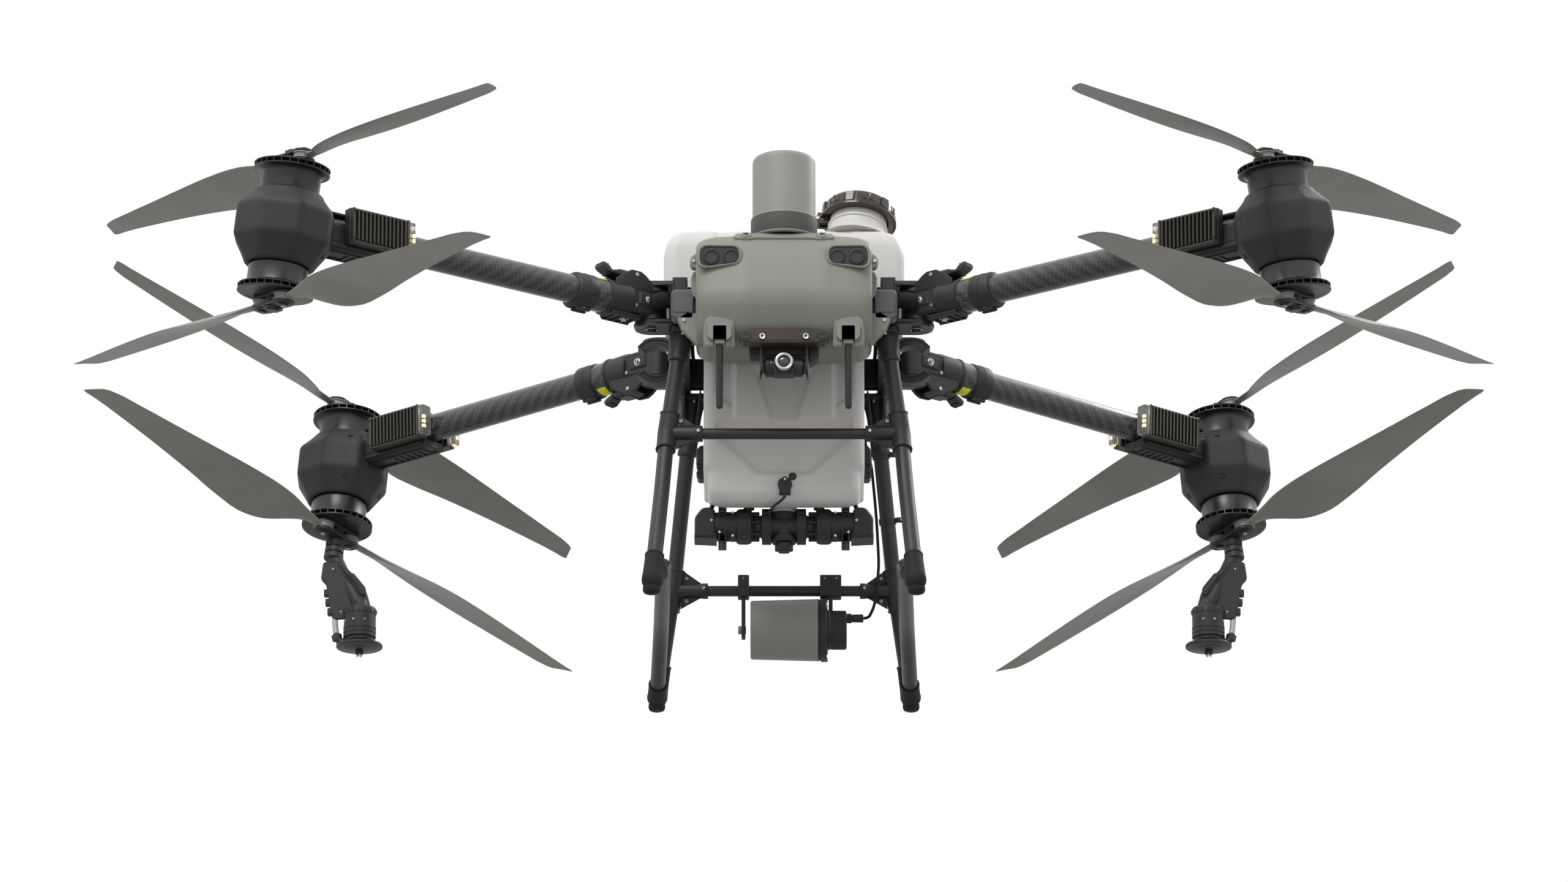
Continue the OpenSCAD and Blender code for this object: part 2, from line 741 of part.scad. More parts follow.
module tank_cap() {
    color([0.2, 0.17, 0.16]) at_cap() difference() {
        union() {
            translate([0, 0, 10]) cylinder(h = 28, d = cap_d);
            translate([0, 0, 38 - eps]) cylinder(h = 5, d = cap_d - 12);
            for (a = [30 : 60 : 330]) rotate([0, 0, a]) translate([cap_d / 2 - 3, -7, 12])
                cube([7, 14, 22]);
            translate([-cap_hinge_x, 7, cap_hinge_z]) rotate([90, 0, 0]) cylinder(h = 14, d = 12);
            translate([-cap_hinge_x, -7, cap_hinge_z + 5]) cube([14, 14, 14]);
        }
        translate([0, 0, 9]) cylinder(h = 17 + gap, d = neck_d + 6);
        translate([-cap_hinge_x, 8, cap_hinge_z]) rotate([90, 0, 0])
            cylinder(h = 16, d = cap_pin_d + 2 * run);
    }
}

// ---- pumps under the tank ----
module pump_unit() {
    half = pump_len / 2;
    color([0.1, 0.1, 0.11]) translate([0, pump_y, pump_z]) difference() {
        union() {
            both_sides() {
                rotate([0, 90, 0]) {
                    translate([0, 0, half - 34]) cylinder(h = 34, d = 54);
                    translate([0, 0, 84]) cylinder(h = half - 34 - 84, d = 51);
                    translate([0, 0, 56]) cylinder(h = 28, d = 60);
                    translate([0, 0, 22]) cylinder(h = 17, d = 60);
                    cylinder(h = 60, d = 44);
                }
                translate([101, -20, -40]) cube([13, 40, tank_low_z - pump_z + 40]);
            }
            translate([0, 0, -30]) cylinder(h = boss_low_z - pump_z + 30, d = 42);
        }
        translate([0, 0, -31]) cylinder(h = 14, d = knob_pin_d + 2 * run);
        translate([0, 0, 4]) cylinder(h = 40, d = 30);
    }
}

module drain_knob() {
    color([0.12, 0.12, 0.12]) translate([0, pump_y, pump_z - 30 - gap]) {
        translate([0, 0, -16]) cylinder(h = 16, d = 26);
        for (a = [0 : 60 : 300]) rotate([0, 0, a]) translate([12, 0, -16])
            cylinder(h = 14, d = 6);
        translate([0, 0, -eps]) cylinder(h = 12, d = knob_pin_d);
    }
}

module battery() {
    w = battery[0];
    color([0.24, 0.24, 0.25]) {
        translate([0, battery_y + battery[1] / 2, battery_z]) rounded_block([w, battery[1], battery[2]], 10);
        translate([-50, battery_y + battery[1] - eps, battery_z + 170]) difference() {
            cube([100, 26, 22]);
            translate([12, -1, -1]) cube([76, 16, 24]);
        }
    }
}

// ---- landing gear ----
module landing_gear() {
    color([0.14, 0.14, 0.15]) difference() {
        union() {
            tube_path(front_leg, leg_d);
            tube_path(skid_path, leg_d);
            tube_path(rear_leg, leg_d);
            // sockets under the rail
            for (leg = [front_leg, rear_leg])
                strut(leg[0], lerp(leg[0], leg[1], 0.3), leg_d + 10);
            for (leg = [front_leg, rear_leg])
                translate([leg[0][0] - 22, leg[0][1] - 34, leg[0][2] - 12]) cube([38, 68, 12]);
            // feet
            ball(skid_path[0], front_leg[2], 2 * foot_z + 8);
            ball(skid_path[3], cross_rear, 2 * foot_z + 8);
            strut(skid_path[0], lerp(skid_path[0], skid_path[1], 0.35), leg_d + 8);
            strut(skid_path[3], lerp(skid_path[3], skid_path[2], 0.12), leg_d + 8);
            strut(skid_path[3], lerp(skid_path[3], cross_rear, 0.2), leg_d + 8);
            strut(skid_path[0], lerp(skid_path[0], front_leg[2], 0.12), leg_d + 8);
            // tees that carry the cross tubes
            for (t = [[cross_front, front_leg[2], front_leg[0]], [cross_rear, rear_leg[2], rear_leg[0]]]) {
                strut(t[0], t[0] + unit(t[1] - t[0]) * 36, leg_d + 8);
                strut(t[0], t[0] + unit(t[2] - t[0]) * 36, leg_d + 8);
                ball(t[0], t[1], (leg_d + 8) * corner_swell);
                translate(t[0]) rotate([0, -90, 0]) cylinder(h = 62, d = cross_d + 10);
            }
        }
        translate([0, 0, -60]) cube([800, 1200, 120], center = true);
        for (t = [cross_front, cross_rear]) translate(t - [100, 0, 0]) rotate([0, 90, 0])
            cylinder(h = 84, d = cross_d);
        translate([0, -500, leg_top[0] + 50]) cube([800, 1000, 100], center = true);
        translate([0, 500, leg_top[1] + 50]) cube([800, 1000, 100], center = true);
    }
}

module cross_tubes() {
    color([0.12, 0.12, 0.13]) for (t = [cross_front, cross_rear])
        translate([-t[0] + 16, t[1], t[2]]) rotate([0, 90, 0]) difference() {
            cylinder(h = 2 * t[0] - 32, d = cross_d);
            translate([0, 0, -1]) cylinder(h = 2 * t[0], d = cross_d - 3);
        }
}

module rear_radar() {
    y = rear_radar_y;
    z = rear_radar_z;
    color([0.5, 0.51, 0.48]) translate([-60, y, z]) rotate([0, 90, 0]) {
        cylinder(h = 122, d = rear_radar_d);
        translate([0, 0, 122]) cylinder(h = 15, d = rear_radar_d + 4);
        translate([0, 0, 137]) cylinder(h = 35, d = 70);
        translate([-22, 0, 172]) cylinder(h = 30, d = 14);
        translate([0, 0, -12]) cylinder(h = 12, d = 16);
    }
    color([0.12, 0.12, 0.13]) for (x = [-76, 80]) difference() {
        union() {
            translate([x, y - 9, z - 12]) cube([8, 18, cross_rear[2] - z + 12]);
            translate([x - 4, y, cross_rear[2]]) rotate([0, 90, 0]) cylinder(h = 16, d = cross_d + 10);
        }
        translate([-100, y, cross_rear[2]]) rotate([0, 90, 0]) cylinder(h = 200, d = cross_d);
        translate([-100, y, z]) rotate([0, 90, 0]) cylinder(h = 240, d = x < 0 ? 16 : 70);
    }
}

module radar_cable() {
    color([0.08, 0.08, 0.08]) tube_path(cable_points, 5);
}

module arm_clamps() {
    color([0.11, 0.11, 0.12]) both_sides() translate(clamp_place) {
        rotate([90, 0, 0]) translate([0, 0, -14]) linear_extrude(28) difference() {
            circle(d = arm_d + 34);
            circle(d = arm_d + 6);
            translate([14, -24]) square([56, 48]);
        }
        translate([-50, -14, -8]) cube([24, 28, 16]);
        translate([-50, -14, -8]) cube([14, 28, rail_low - clamp_place[2] + 8]);
    }
}

module cable_boots() {
    color([0.3, 0.3, 0.31]) both_sides()
        translate([boot_x, rail_front - boot_d / 2, boot_z]) rounded_block([boot_w, boot_d, boot_h], 8);
}

module fasteners() {
    color([0.75, 0.75, 0.76]) both_sides() {
        for (h = [front_hinge, rear_hinge])
            translate([h[0], h[1], h[2] + clevis_z + clevis_t + 6]) cylinder(h = 4, d = 22);
        translate([160, -190, 584]) cylinder(h = 4, d = 9);
    }
}

// ---- nodes ----
module front_arm(s) { side(s) whole_arm(front_hinge, front_pod, front_arm_rise, 1); }
module rear_arm(s) { side(s) whole_arm(rear_hinge, rear_pod, rear_arm_rise, -1); }
module front_motors(s) { side(s) motor_pod(front_hinge, front_pod, front_lean, front_arm_rise); }
module rear_motors(s) { side(s) motor_pod(rear_hinge, rear_pod, rear_lean, rear_arm_rise); }
module front_lock(s) { side(s) lock(front_hinge, front_pod, 1); }
module rear_lock(s) { side(s) lock(rear_hinge, rear_pod, -1); }

module front_rotor(s, end) {
    side(s) at_pod(front_pod, front_lean) flip(end) rotor(front_phase[0], false);
}

module rear_rotor(s, end) {
    side(s) at_pod(rear_pod, rear_lean) flip(end) rotor(rear_phase[0], end < 0);
}

// k picks the blade of a pair
module front_blade(s, end, k) {
    side(s) at_pod(front_pod, front_lean) blade(front_phase[k], -end, end);
}

module rear_blade(s, end, k) {
    side(s) at_pod(rear_pod, rear_lean) blade(rear_phase[k], end, end);
}

front_arm(-1);  // front_left_arm
front_arm(1);  // front_right_arm
rear_arm(-1);  // rear_left_arm
rear_arm(1);  // rear_right_arm
front_motors(-1);  // front_left_pod
front_motors(1);  // front_right_pod
rear_motors(-1);  // rear_left_pod
rear_motors(1);  // rear_right_pod
front_lock(-1);  // front_left_lock
front_lock(1);  // front_right_lock
rear_lock(-1);  // rear_left_lock
rear_lock(1);  // rear_right_lock
front_rotor(-1, 1);  // front_left_upper_rotor
front_rotor(1, 1);  // front_right_upper_rotor
rear_rotor(-1, 1);  // rear_left_upper_rotor
rear_rotor(1, 1);  // rear_right_upper_rotor
front_rotor(-1, -1);  // front_left_lower_rotor
front_rotor(1, -1);  // front_right_lower_rotor
rear_rotor(-1, -1);  // rear_left_lower_rotor
rear_rotor(1, -1);  // rear_right_lower_rotor
front_blade(-1, 1, 0);  // front_left_upper_blade_a
front_blade(-1, 1, 1);  // front_left_upper_blade_b
front_blade(-1, -1, 0);  // front_left_lower_blade_a
front_blade(-1, -1, 1);  // front_left_lower_blade_b
front_blade(1, 1, 0);  // front_right_upper_blade_a
front_blade(1, 1, 1);  // front_right_upper_blade_b
front_blade(1, -1, 0);  // front_right_lower_blade_a
front_blade(1, -1, 1);  // front_right_lower_blade_b
rear_blade(-1, 1, 0);  // rear_left_upper_blade_a
rear_blade(-1, 1, 1);  // rear_left_upper_blade_b
rear_blade(-1, -1, 0);  // rear_left_lower_blade_a
rear_blade(-1, -1, 1);  // rear_left_lower_blade_b
rear_blade(1, 1, 0);  // rear_right_upper_blade_a
rear_blade(1, 1, 1);  // rear_right_upper_blade_b
rear_blade(1, -1, 0);  // rear_right_lower_blade_a
rear_blade(1, -1, 1);  // rear_right_lower_blade_b
side(-1) spray_mount(rear_pod, rear_lean);  // left_spray_mount
side(1) spray_mount(rear_pod, rear_lean);  // right_spray_mount
side(-1) spray_disc();  // left_spray_disc
side(1) spray_disc();  // right_spray_disc
centre_frame();
front_shell();
headlights();
front_radar();
camera_head();
side(-1) antenna();  // left_antenna
side(1) antenna();  // right_antenna
tank();
tank_cap();
pump_unit();
drain_knob();
battery();
side(-1) landing_gear();  // left_landing_gear
side(1) landing_gear();  // right_landing_gear
cross_tubes();
rear_radar();
radar_cable();
arm_clamps();
cable_boots();
fasteners();
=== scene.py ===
import json
import math
import bpy
import numpy as np
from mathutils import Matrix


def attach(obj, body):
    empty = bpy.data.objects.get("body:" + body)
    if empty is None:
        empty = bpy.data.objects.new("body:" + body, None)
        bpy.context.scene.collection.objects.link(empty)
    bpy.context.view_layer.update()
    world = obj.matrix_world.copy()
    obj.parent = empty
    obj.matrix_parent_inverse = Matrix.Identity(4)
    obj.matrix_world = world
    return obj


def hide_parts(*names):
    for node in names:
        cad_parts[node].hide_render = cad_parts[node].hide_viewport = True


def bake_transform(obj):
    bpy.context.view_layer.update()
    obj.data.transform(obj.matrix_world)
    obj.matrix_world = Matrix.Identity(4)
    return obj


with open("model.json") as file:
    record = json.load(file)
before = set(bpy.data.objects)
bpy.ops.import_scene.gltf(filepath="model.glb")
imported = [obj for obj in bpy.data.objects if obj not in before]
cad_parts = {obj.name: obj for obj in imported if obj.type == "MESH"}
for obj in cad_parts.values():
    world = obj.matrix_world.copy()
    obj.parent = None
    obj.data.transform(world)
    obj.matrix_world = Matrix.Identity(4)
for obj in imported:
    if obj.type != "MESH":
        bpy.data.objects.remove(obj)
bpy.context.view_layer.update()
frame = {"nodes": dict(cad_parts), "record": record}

MM = 0.001
PI = math.pi


# ---------- mesh parts: each part is (points in mm, faces) ----------
def rot(axis, deg):
    a = math.radians(deg)
    c, s = math.cos(a), math.sin(a)
    m = np.eye(4)
    i, j = {"x": (1, 2), "y": (2, 0), "z": (0, 1)}[axis]
    m[i, i] = m[j, j] = c
    m[i, j], m[j, i] = -s, s
    return m


def move(x, y=None, z=None):
    if y is None:
        x, y, z = x
    m = np.eye(4)
    m[:3, 3] = (x, y, z)
    return m


def mul(*ms):
    out = np.eye(4)
    for m in ms:
        out = out @ m
    return out


MIRROR = np.diag([-1.0, 1, 1, 1])
FLIP = np.diag([1.0, 1, -1, 1])


def put(part, *ms):
    m = mul(*ms)
    v, f = part
    v = np.asarray(v, float) @ m[:3, :3].T + m[:3, 3]
    if np.linalg.det(m[:3, :3]) < 0:
        f = [tuple(reversed(q)) for q in f]
    return v, f


def join(*parts):
    vs, fs, n = [], [], 0
    for p in parts:
        for v, f in (p if isinstance(p, list) else [p]):
            vs.append(np.asarray(v, float))
            fs += [tuple(int(i) + n for i in q) for q in f]
            n += len(v)
    return np.vstack(vs), fs


def aim(a, b):
    """A matrix whose Z runs from a towards b and whose origin is a."""
    a, b = np.array(a, float), np.array(b, float)
    z = (b - a) / np.linalg.norm(b - a)
    h = np.array([0, 0, 1.0]) if abs(z[2]) < 0.95 else np.array([1.0, 0, 0])
    x = np.cross(h, z)
    x /= np.linalg.norm(x)
    m = np.eye(4)
    m[:3, 0], m[:3, 1], m[:3, 2], m[:3, 3] = x, np.cross(z, x), z, a
    return m


def rings(loops, closed=False, caps=(True, True)):
    """Skins a list of loops that all have the same number of points."""
    n = len(loops[0])
    v = np.vstack(loops)
    f = []
    m = len(loops)
    for i in range(m if closed else m - 1):
        j = (i + 1) % m
        for k in range(n):
            l = (k + 1) % n
            f.append((i * n + k, i * n + l, j * n + l, j * n + k))
    if not closed:
        if caps[0]:
            f.append(tuple(reversed(range(n))))
        if caps[1]:
            f.append(tuple((m - 1) * n + k for k in range(n)))
    return v, f


def lathe(profile, n=48, caps=(True, True), closed=False):
    """profile holds (radius, z) from low z to high z."""
    t = np.arange(n) * 2 * PI / n
    loops = [np.stack([max(r, 1e-4) * np.cos(t), max(r, 1e-4) * np.sin(t), np.full(n, z)], 1)
             for r, z in profile]
    return rings(loops, closed, caps)


def cyl(r, h, n=40, c=0.6, z=0.0):
    """A cylinder from z to z + h with small bevels."""
    c = min(c, r * 0.4, h * 0.4)
    return lathe([(r - c, z), (r, z + c), (r, z + h - c), (r - c, z + h)], n)


def tube(r, ri, h, n=40, c=0.5, z=0.0):
    c = min(c, (r - ri) * 0.4)
    return lathe([(ri, z), (r - c, z), (r, z + c), (r, z + h - c), (r - c, z + h), (ri, z + h)],
                 n, closed=True)


def rod(a, b, r, n=20, c=0.3):
    a, b = np.array(a, float), np.array(b, float)
    return put(cyl(r, np.linalg.norm(b - a), n, c), aim(a, b))


def box(size, c=1.0, at=(0, 0, 0)):
    """A box with bevelled edges, its middle at at."""
    h = np.array(size, float) / 2
    c = min(c, h.min() * 0.8)
    v, idx = [], {}
    for sx in (-1, 1):
        for sy in (-1, 1):
            for sz in (-1, 1):
                s = (sx, sy, sz)
                for k in range(3):
                    p = [s[i] * (h[i] - (0 if i == k else c)) for i in range(3)]
                    idx[s + (k,)] = len(v)
                    v.append(p)
    f = []
    for k in range(3):
        a, b = (k + 1) % 3, (k + 2) % 3
        for sg in (-1, 1):
            q = []
            for sa, sb in ((-1, -1), (1, -1), (1, 1), (-1, 1)):
                s = [0, 0, 0]
                s[k], s[a], s[b] = sg, sa, sb
                q.append(idx[tuple(s) + (k,)])
            f.append(tuple(q if sg > 0 else reversed(q)))
    for k in range(3):
        a, b = (k + 1) % 3, (k + 2) % 3
        for sa in (-1, 1):
            for sb in (-1, 1):
                lo, hi = [0, 0, 0], [0, 0, 0]
                lo[k], hi[k] = -1, 1
                lo[a] = hi[a] = sa
                lo[b] = hi[b] = sb
                q = [idx[tuple(lo) + (a,)], idx[tuple(hi) + (a,)], idx[tuple(hi) + (b,)],
                     idx[tuple(lo) + (b,)]]
                f.append(tuple(q if sa * sb < 0 else reversed(q)))
    for sx in (-1, 1):
        for sy in (-1, 1):
            for sz in (-1, 1):
                q = [idx[(sx, sy, sz, k)] for k in range(3)]
                f.append(tuple(q if sx * sy * sz > 0 else reversed(q)))
    return np.array(v) + np.array(at, float), f


def span(lo, hi, c=1.0):
    lo, hi = np.array(lo, float), np.array(hi, float)
    return box(np.abs(hi - lo), c, (lo + hi) / 2)


def inset(pts, d):
    """Moves a counter-clockwise outline inwards by d."""
    p = np.array(pts, float)
    n = len(p)
    out = []
    for i in range(n):
        a, b, c = p[i - 1], p[i], p[(i + 1) % n]
        u, w = b - a, c - b
        u /= np.linalg.norm(u) + 1e-12
        w /= np.linalg.norm(w) + 1e-12
        nu, nw = np.array([-u[1], u[0]]), np.array([-w[1], w[0]])
        m = nu + nw
        m /= max(0.35, np.dot(m, nu)) if np.dot(m, nu) > 0 else 1
        out.append(b + m * d)
    return np.array(out)


def prism(pts, h, c=0.8, z=0.0):
    """An outline extruded from z to z + h with bevelled rims."""
    p = np.array(pts, float)
    area = np.sum(p[:, 0] * np.roll(p[:, 1], -1) - np.roll(p[:, 0], -1) * p[:, 1])
    if area < 0:
        p = p[::-1]
    q = inset(p, c)
    def lay(a, zz):
        return np.column_stack([a, np.full(len(a), zz)])
    return rings([lay(q, z), lay(p, z + c), lay(p, z + h - c), lay(q, z + h)])


def rounded(w, d, r, n=6):
    """A rounded rectangle outline."""
    out = []
    for cx, cy, a0 in ((w / 2 - r, d / 2 - r, 0), (-w / 2 + r, d / 2 - r, 90),
                       (-w / 2 + r, -d / 2 + r, 180), (w / 2 - r, -d / 2 + r, 270)):
        for k in range(n + 1):
            a = math.radians(a0 + 90 * k / n)
            out.append((cx + r * math.cos(a), cy + r * math.sin(a)))
    return out


def smooth_path(points, soft=0.5):
    """A dense path: straight runs with every corner rounded."""
    p = [np.array(q, float) for q in points]
    out = [p[0]]
    for i in range(1, len(p) - 1):
        a, b, c = p[i - 1], p[i], p[i + 1]
        cut = min(np.linalg.norm(b - a), np.linalg.norm(c - b)) * 0.5 * soft
        s, e = b + (a - b) / np.linalg.norm(a - b) * cut, b + (c - b) / np.linalg.norm(c - b) * cut
        m = 8
        for k in range(m + 1):
            t = k / m
            out.append((1 - t) ** 2 * s + 2 * t * (1 - t) * b + t * t * e)
    out.append(p[-1])
    return np.array(out)


def sweep(path, r, n=16, caps=(True, True)):
    """A tube along a path; r is one radius or one for each point."""
    p = np.asarray(path, float)
    m = len(p)
    r = np.full(m, float(r)) if np.isscalar(r) else np.asarray(r, float)
    t = np.gradient(p, axis=0)
    t /= np.linalg.norm(t, axis=1)[:, None]
    h = np.array([0, 0, 1.0]) if abs(t[0][2]) < 0.9 else np.array([0, 1.0, 0])
    x = np.cross(h, t[0])
    x /= np.linalg.norm(x)
    a = np.arange(n) * 2 * PI / n
    loops = []
    for i in range(m):
        x = x - t[i] * np.dot(x, t[i])
        x /= np.linalg.norm(x)
        y = np.cross(t[i], x)
        loops.append(p[i] + r[i] * (np.cos(a)[:, None] * x + np.sin(a)[:, None] * y))
    return rings(loops, False, caps)


def hexhead(d, h):
    """A socket cap screw head standing on z = 0."""
    r = d / 2
    n = 24
    t = np.arange(n) * 2 * PI / n
    ring = lambda rr, z: np.stack([rr * np.cos(t), rr * np.sin(t), np.full(n, z)], 1)
    k = np.maximum(np.abs(np.cos(t)), np.maximum(np.abs(np.cos(t - PI / 3)), np.abs(np.cos(t + PI / 3))))
    hexa = lambda z: np.stack([r * 0.5 / k * np.cos(t), r * 0.5 / k * np.sin(t), np.full(n, z)], 1)
    return rings([ring(r, 0), ring(r, h * 0.8), ring(r * 0.86, h), hexa(h), hexa(h * 0.35)])


# ---------- materials ----------
def mat(name, color, rough=0.5, metal=0.0, coat=0.0, sheen=0.0, spec=None, bump=0.0, scale=200.0,
        detail=4.0, vary=0.12, kind="noise", trans=0.0, ior=None, emit=None, stretch=None,
        edge=0.0):
    m = bpy.data.materials.new(name)
    m.use_nodes = True
    nt = m.node_tree
    N, L = nt.nodes, nt.links
    b = N["Principled BSDF"]
    b.inputs["Metallic"].default_value = metal
    b.inputs["Coat Weight"].default_value = coat
    b.inputs["Coat Roughness"].default_value = 0.15
    b.inputs["Sheen Weight"].default_value = sheen
    b.inputs["Transmission Weight"].default_value = trans
    if ior:
        b.inputs["IOR"].default_value = ior
    if spec is not None:
        b.inputs["Specular IOR Level"].default_value = spec
    if emit:
        b.inputs["Emission Color"].default_value = (*emit[0], 1)
        b.inputs["Emission Strength"].default_value = emit[1]
    tc = N.new("ShaderNodeTexCoord")
    src = tc.outputs["Object"]
    if stretch:
        mp = N.new("ShaderNodeMapping")
        mp.inputs["Scale"].default_value = stretch
        L.new(src, mp.inputs["Vector"])
        src = mp.outputs["Vector"]
    big = N.new("ShaderNodeTexNoise")
    big.inputs["Scale"].default_value = 9
    big.inputs["Detail"].default_value = 5
    L.new(src, big.inputs["Vector"])
    ramp = N.new("ShaderNodeValToRGB")
    e = ramp.color_ramp.elements
    c = np.array(color)
    e[0].position, e[1].position = 0.3, 0.7
    e[0].color = (*np.clip(c * (1 - vary), 0, 1), 1)
    e[1].color = (*np.clip(c * (1 + vary), 0, 1), 1)
    L.new(big.outputs["Fac"], ramp.inputs["Fac"])
    col = ramp.outputs["Color"]
    if edge:
        geo = N.new("ShaderNodeNewGeometry")
        er = N.new("ShaderNodeValToRGB")
        er.color_ramp.elements[0].position = 0.51
        er.color_ramp.elements[1].position = 0.60
        L.new(geo.outputs["Pointiness"], er.inputs["Fac"])
        mx = N.new("ShaderNodeMix")
        mx.data_type = "RGBA"
        mx.inputs[7].default_value = (*np.clip(c * (1 + edge), 0, 1), 1)
        L.new(er.outputs["Color"], mx.inputs[0])
        L.new(col, mx.inputs[6])
        col = mx.outputs[2]
    L.new(col, b.inputs["Base Color"])
    if kind == "voronoi":
        fine = N.new("ShaderNodeTexVoronoi")
        fine.inputs["Scale"].default_value = scale
        out = fine.outputs["Distance"]
    else:
        fine = N.new("ShaderNodeTexNoise")
        fine.inputs["Scale"].default_value = scale
        fine.inputs["Detail"].default_value = detail
        out = fine.outputs["Fac"]
    L.new(src, fine.inputs["Vector"])
    rr = N.new("ShaderNodeMapRange")
    rr.inputs["To Min"].default_value = max(0.02, rough - 0.07)
    rr.inputs["To Max"].default_value = min(1, rough + 0.07)
    L.new(out, rr.inputs["Value"])
    L.new(rr.outputs["Result"], b.inputs["Roughness"])
    if bump:
        bp = N.new("ShaderNodeBump")
        bp.inputs["Strength"].default_value = bump
        bp.inputs["Distance"].default_value = 0.0006
        L.new(out, bp.inputs["Height"])
        L.new(bp.outputs["Normal"], b.inputs["Normal"])
    return m


def carbon(name, tone=0.03):
    """Twill weave from the piece's own UV map, one tow a unit."""
    m = bpy.data.materials.new(name)
    m.use_nodes = True
    nt = m.node_tree
    N, L = nt.nodes, nt.links
    b = N["Principled BSDF"]
    b.inputs["Coat Weight"].default_value = 0.6
    b.inputs["Coat Roughness"].default_value = 0.12
    uv = N.new("ShaderNodeUVMap")
    sp = N.new("ShaderNodeSeparateXYZ")
    L.new(uv.outputs["UV"], sp.inputs["Vector"])

    def math_node(op, a, bb=None):
        n = N.new("ShaderNodeMath")
        n.operation = op
        for i, v in enumerate((a, bb)):
            if v is None:
                continue
            if isinstance(v, (int, float)):
                n.inputs[i].default_value = v
            else:
                L.new(v, n.inputs[i])
        return n.outputs[0]

    u, v = sp.outputs["X"], sp.outputs["Y"]
    fu, fv = math_node("FLOOR", u), math_node("FLOOR", v)
    s = math_node("SUBTRACT", fu, fv)
    k = math_node("FLOORED_MODULO", s, 4.0)
    over = math_node("LESS_THAN", k, 1.5)
    du = math_node("ABSOLUTE", math_node("SUBTRACT", math_node("FRACT", u), 0.5))
    dv = math_node("ABSOLUTE", math_node("SUBTRACT", math_node("FRACT", v), 0.5))
    mx = N.new("ShaderNodeMix")
    mx.data_type = "FLOAT"
    L.new(over, mx.inputs[0])
    L.new(dv, mx.inputs[2])
    L.new(du, mx.inputs[3])
    tow = mx.outputs[0]
    ramp = N.new("ShaderNodeValToRGB")
    e = ramp.color_ramp.elements
    e[0].color, e[1].color = (tone * 1.5,) * 3 + (1,), (tone * 0.45,) * 3 + (1,)
    e[0].position, e[1].position = 0.1, 0.5
    L.new(tow, ramp.inputs["Fac"])
    cm = N.new("ShaderNodeMix")
    cm.data_type = "RGBA"
    cm.blend_type = "MULTIPLY"
    cm.inputs[0].default_value = 1
    L.new(ramp.outputs["Color"], cm.inputs[6])
    sh = N.new("ShaderNodeMapRange")
    sh.inputs["To Min"].default_value = 0.55
    sh.inputs["To Max"].default_value = 1.4
    L.new(over, sh.inputs["Value"])
    L.new(sh.outputs["Result"], cm.inputs[7])
    L.new(cm.outputs[2], b.inputs["Base Color"])
    rr = N.new("ShaderNodeMapRange")
    rr.inputs["To Min"].default_value = 0.3
    rr.inputs["To Max"].default_value = 0.48
    L.new(over, rr.inputs["Value"])
    L.new(rr.outputs["Result"], b.inputs["Roughness"])
    bp = N.new("ShaderNodeBump")
    bp.inputs["Strength"].default_value = 0.25
    bp.inputs["Distance"].default_value = 0.0004
    bp.invert = True
    L.new(tow, bp.inputs["Height"])
    L.new(bp.outputs["Normal"], b.inputs["Normal"])
    return m


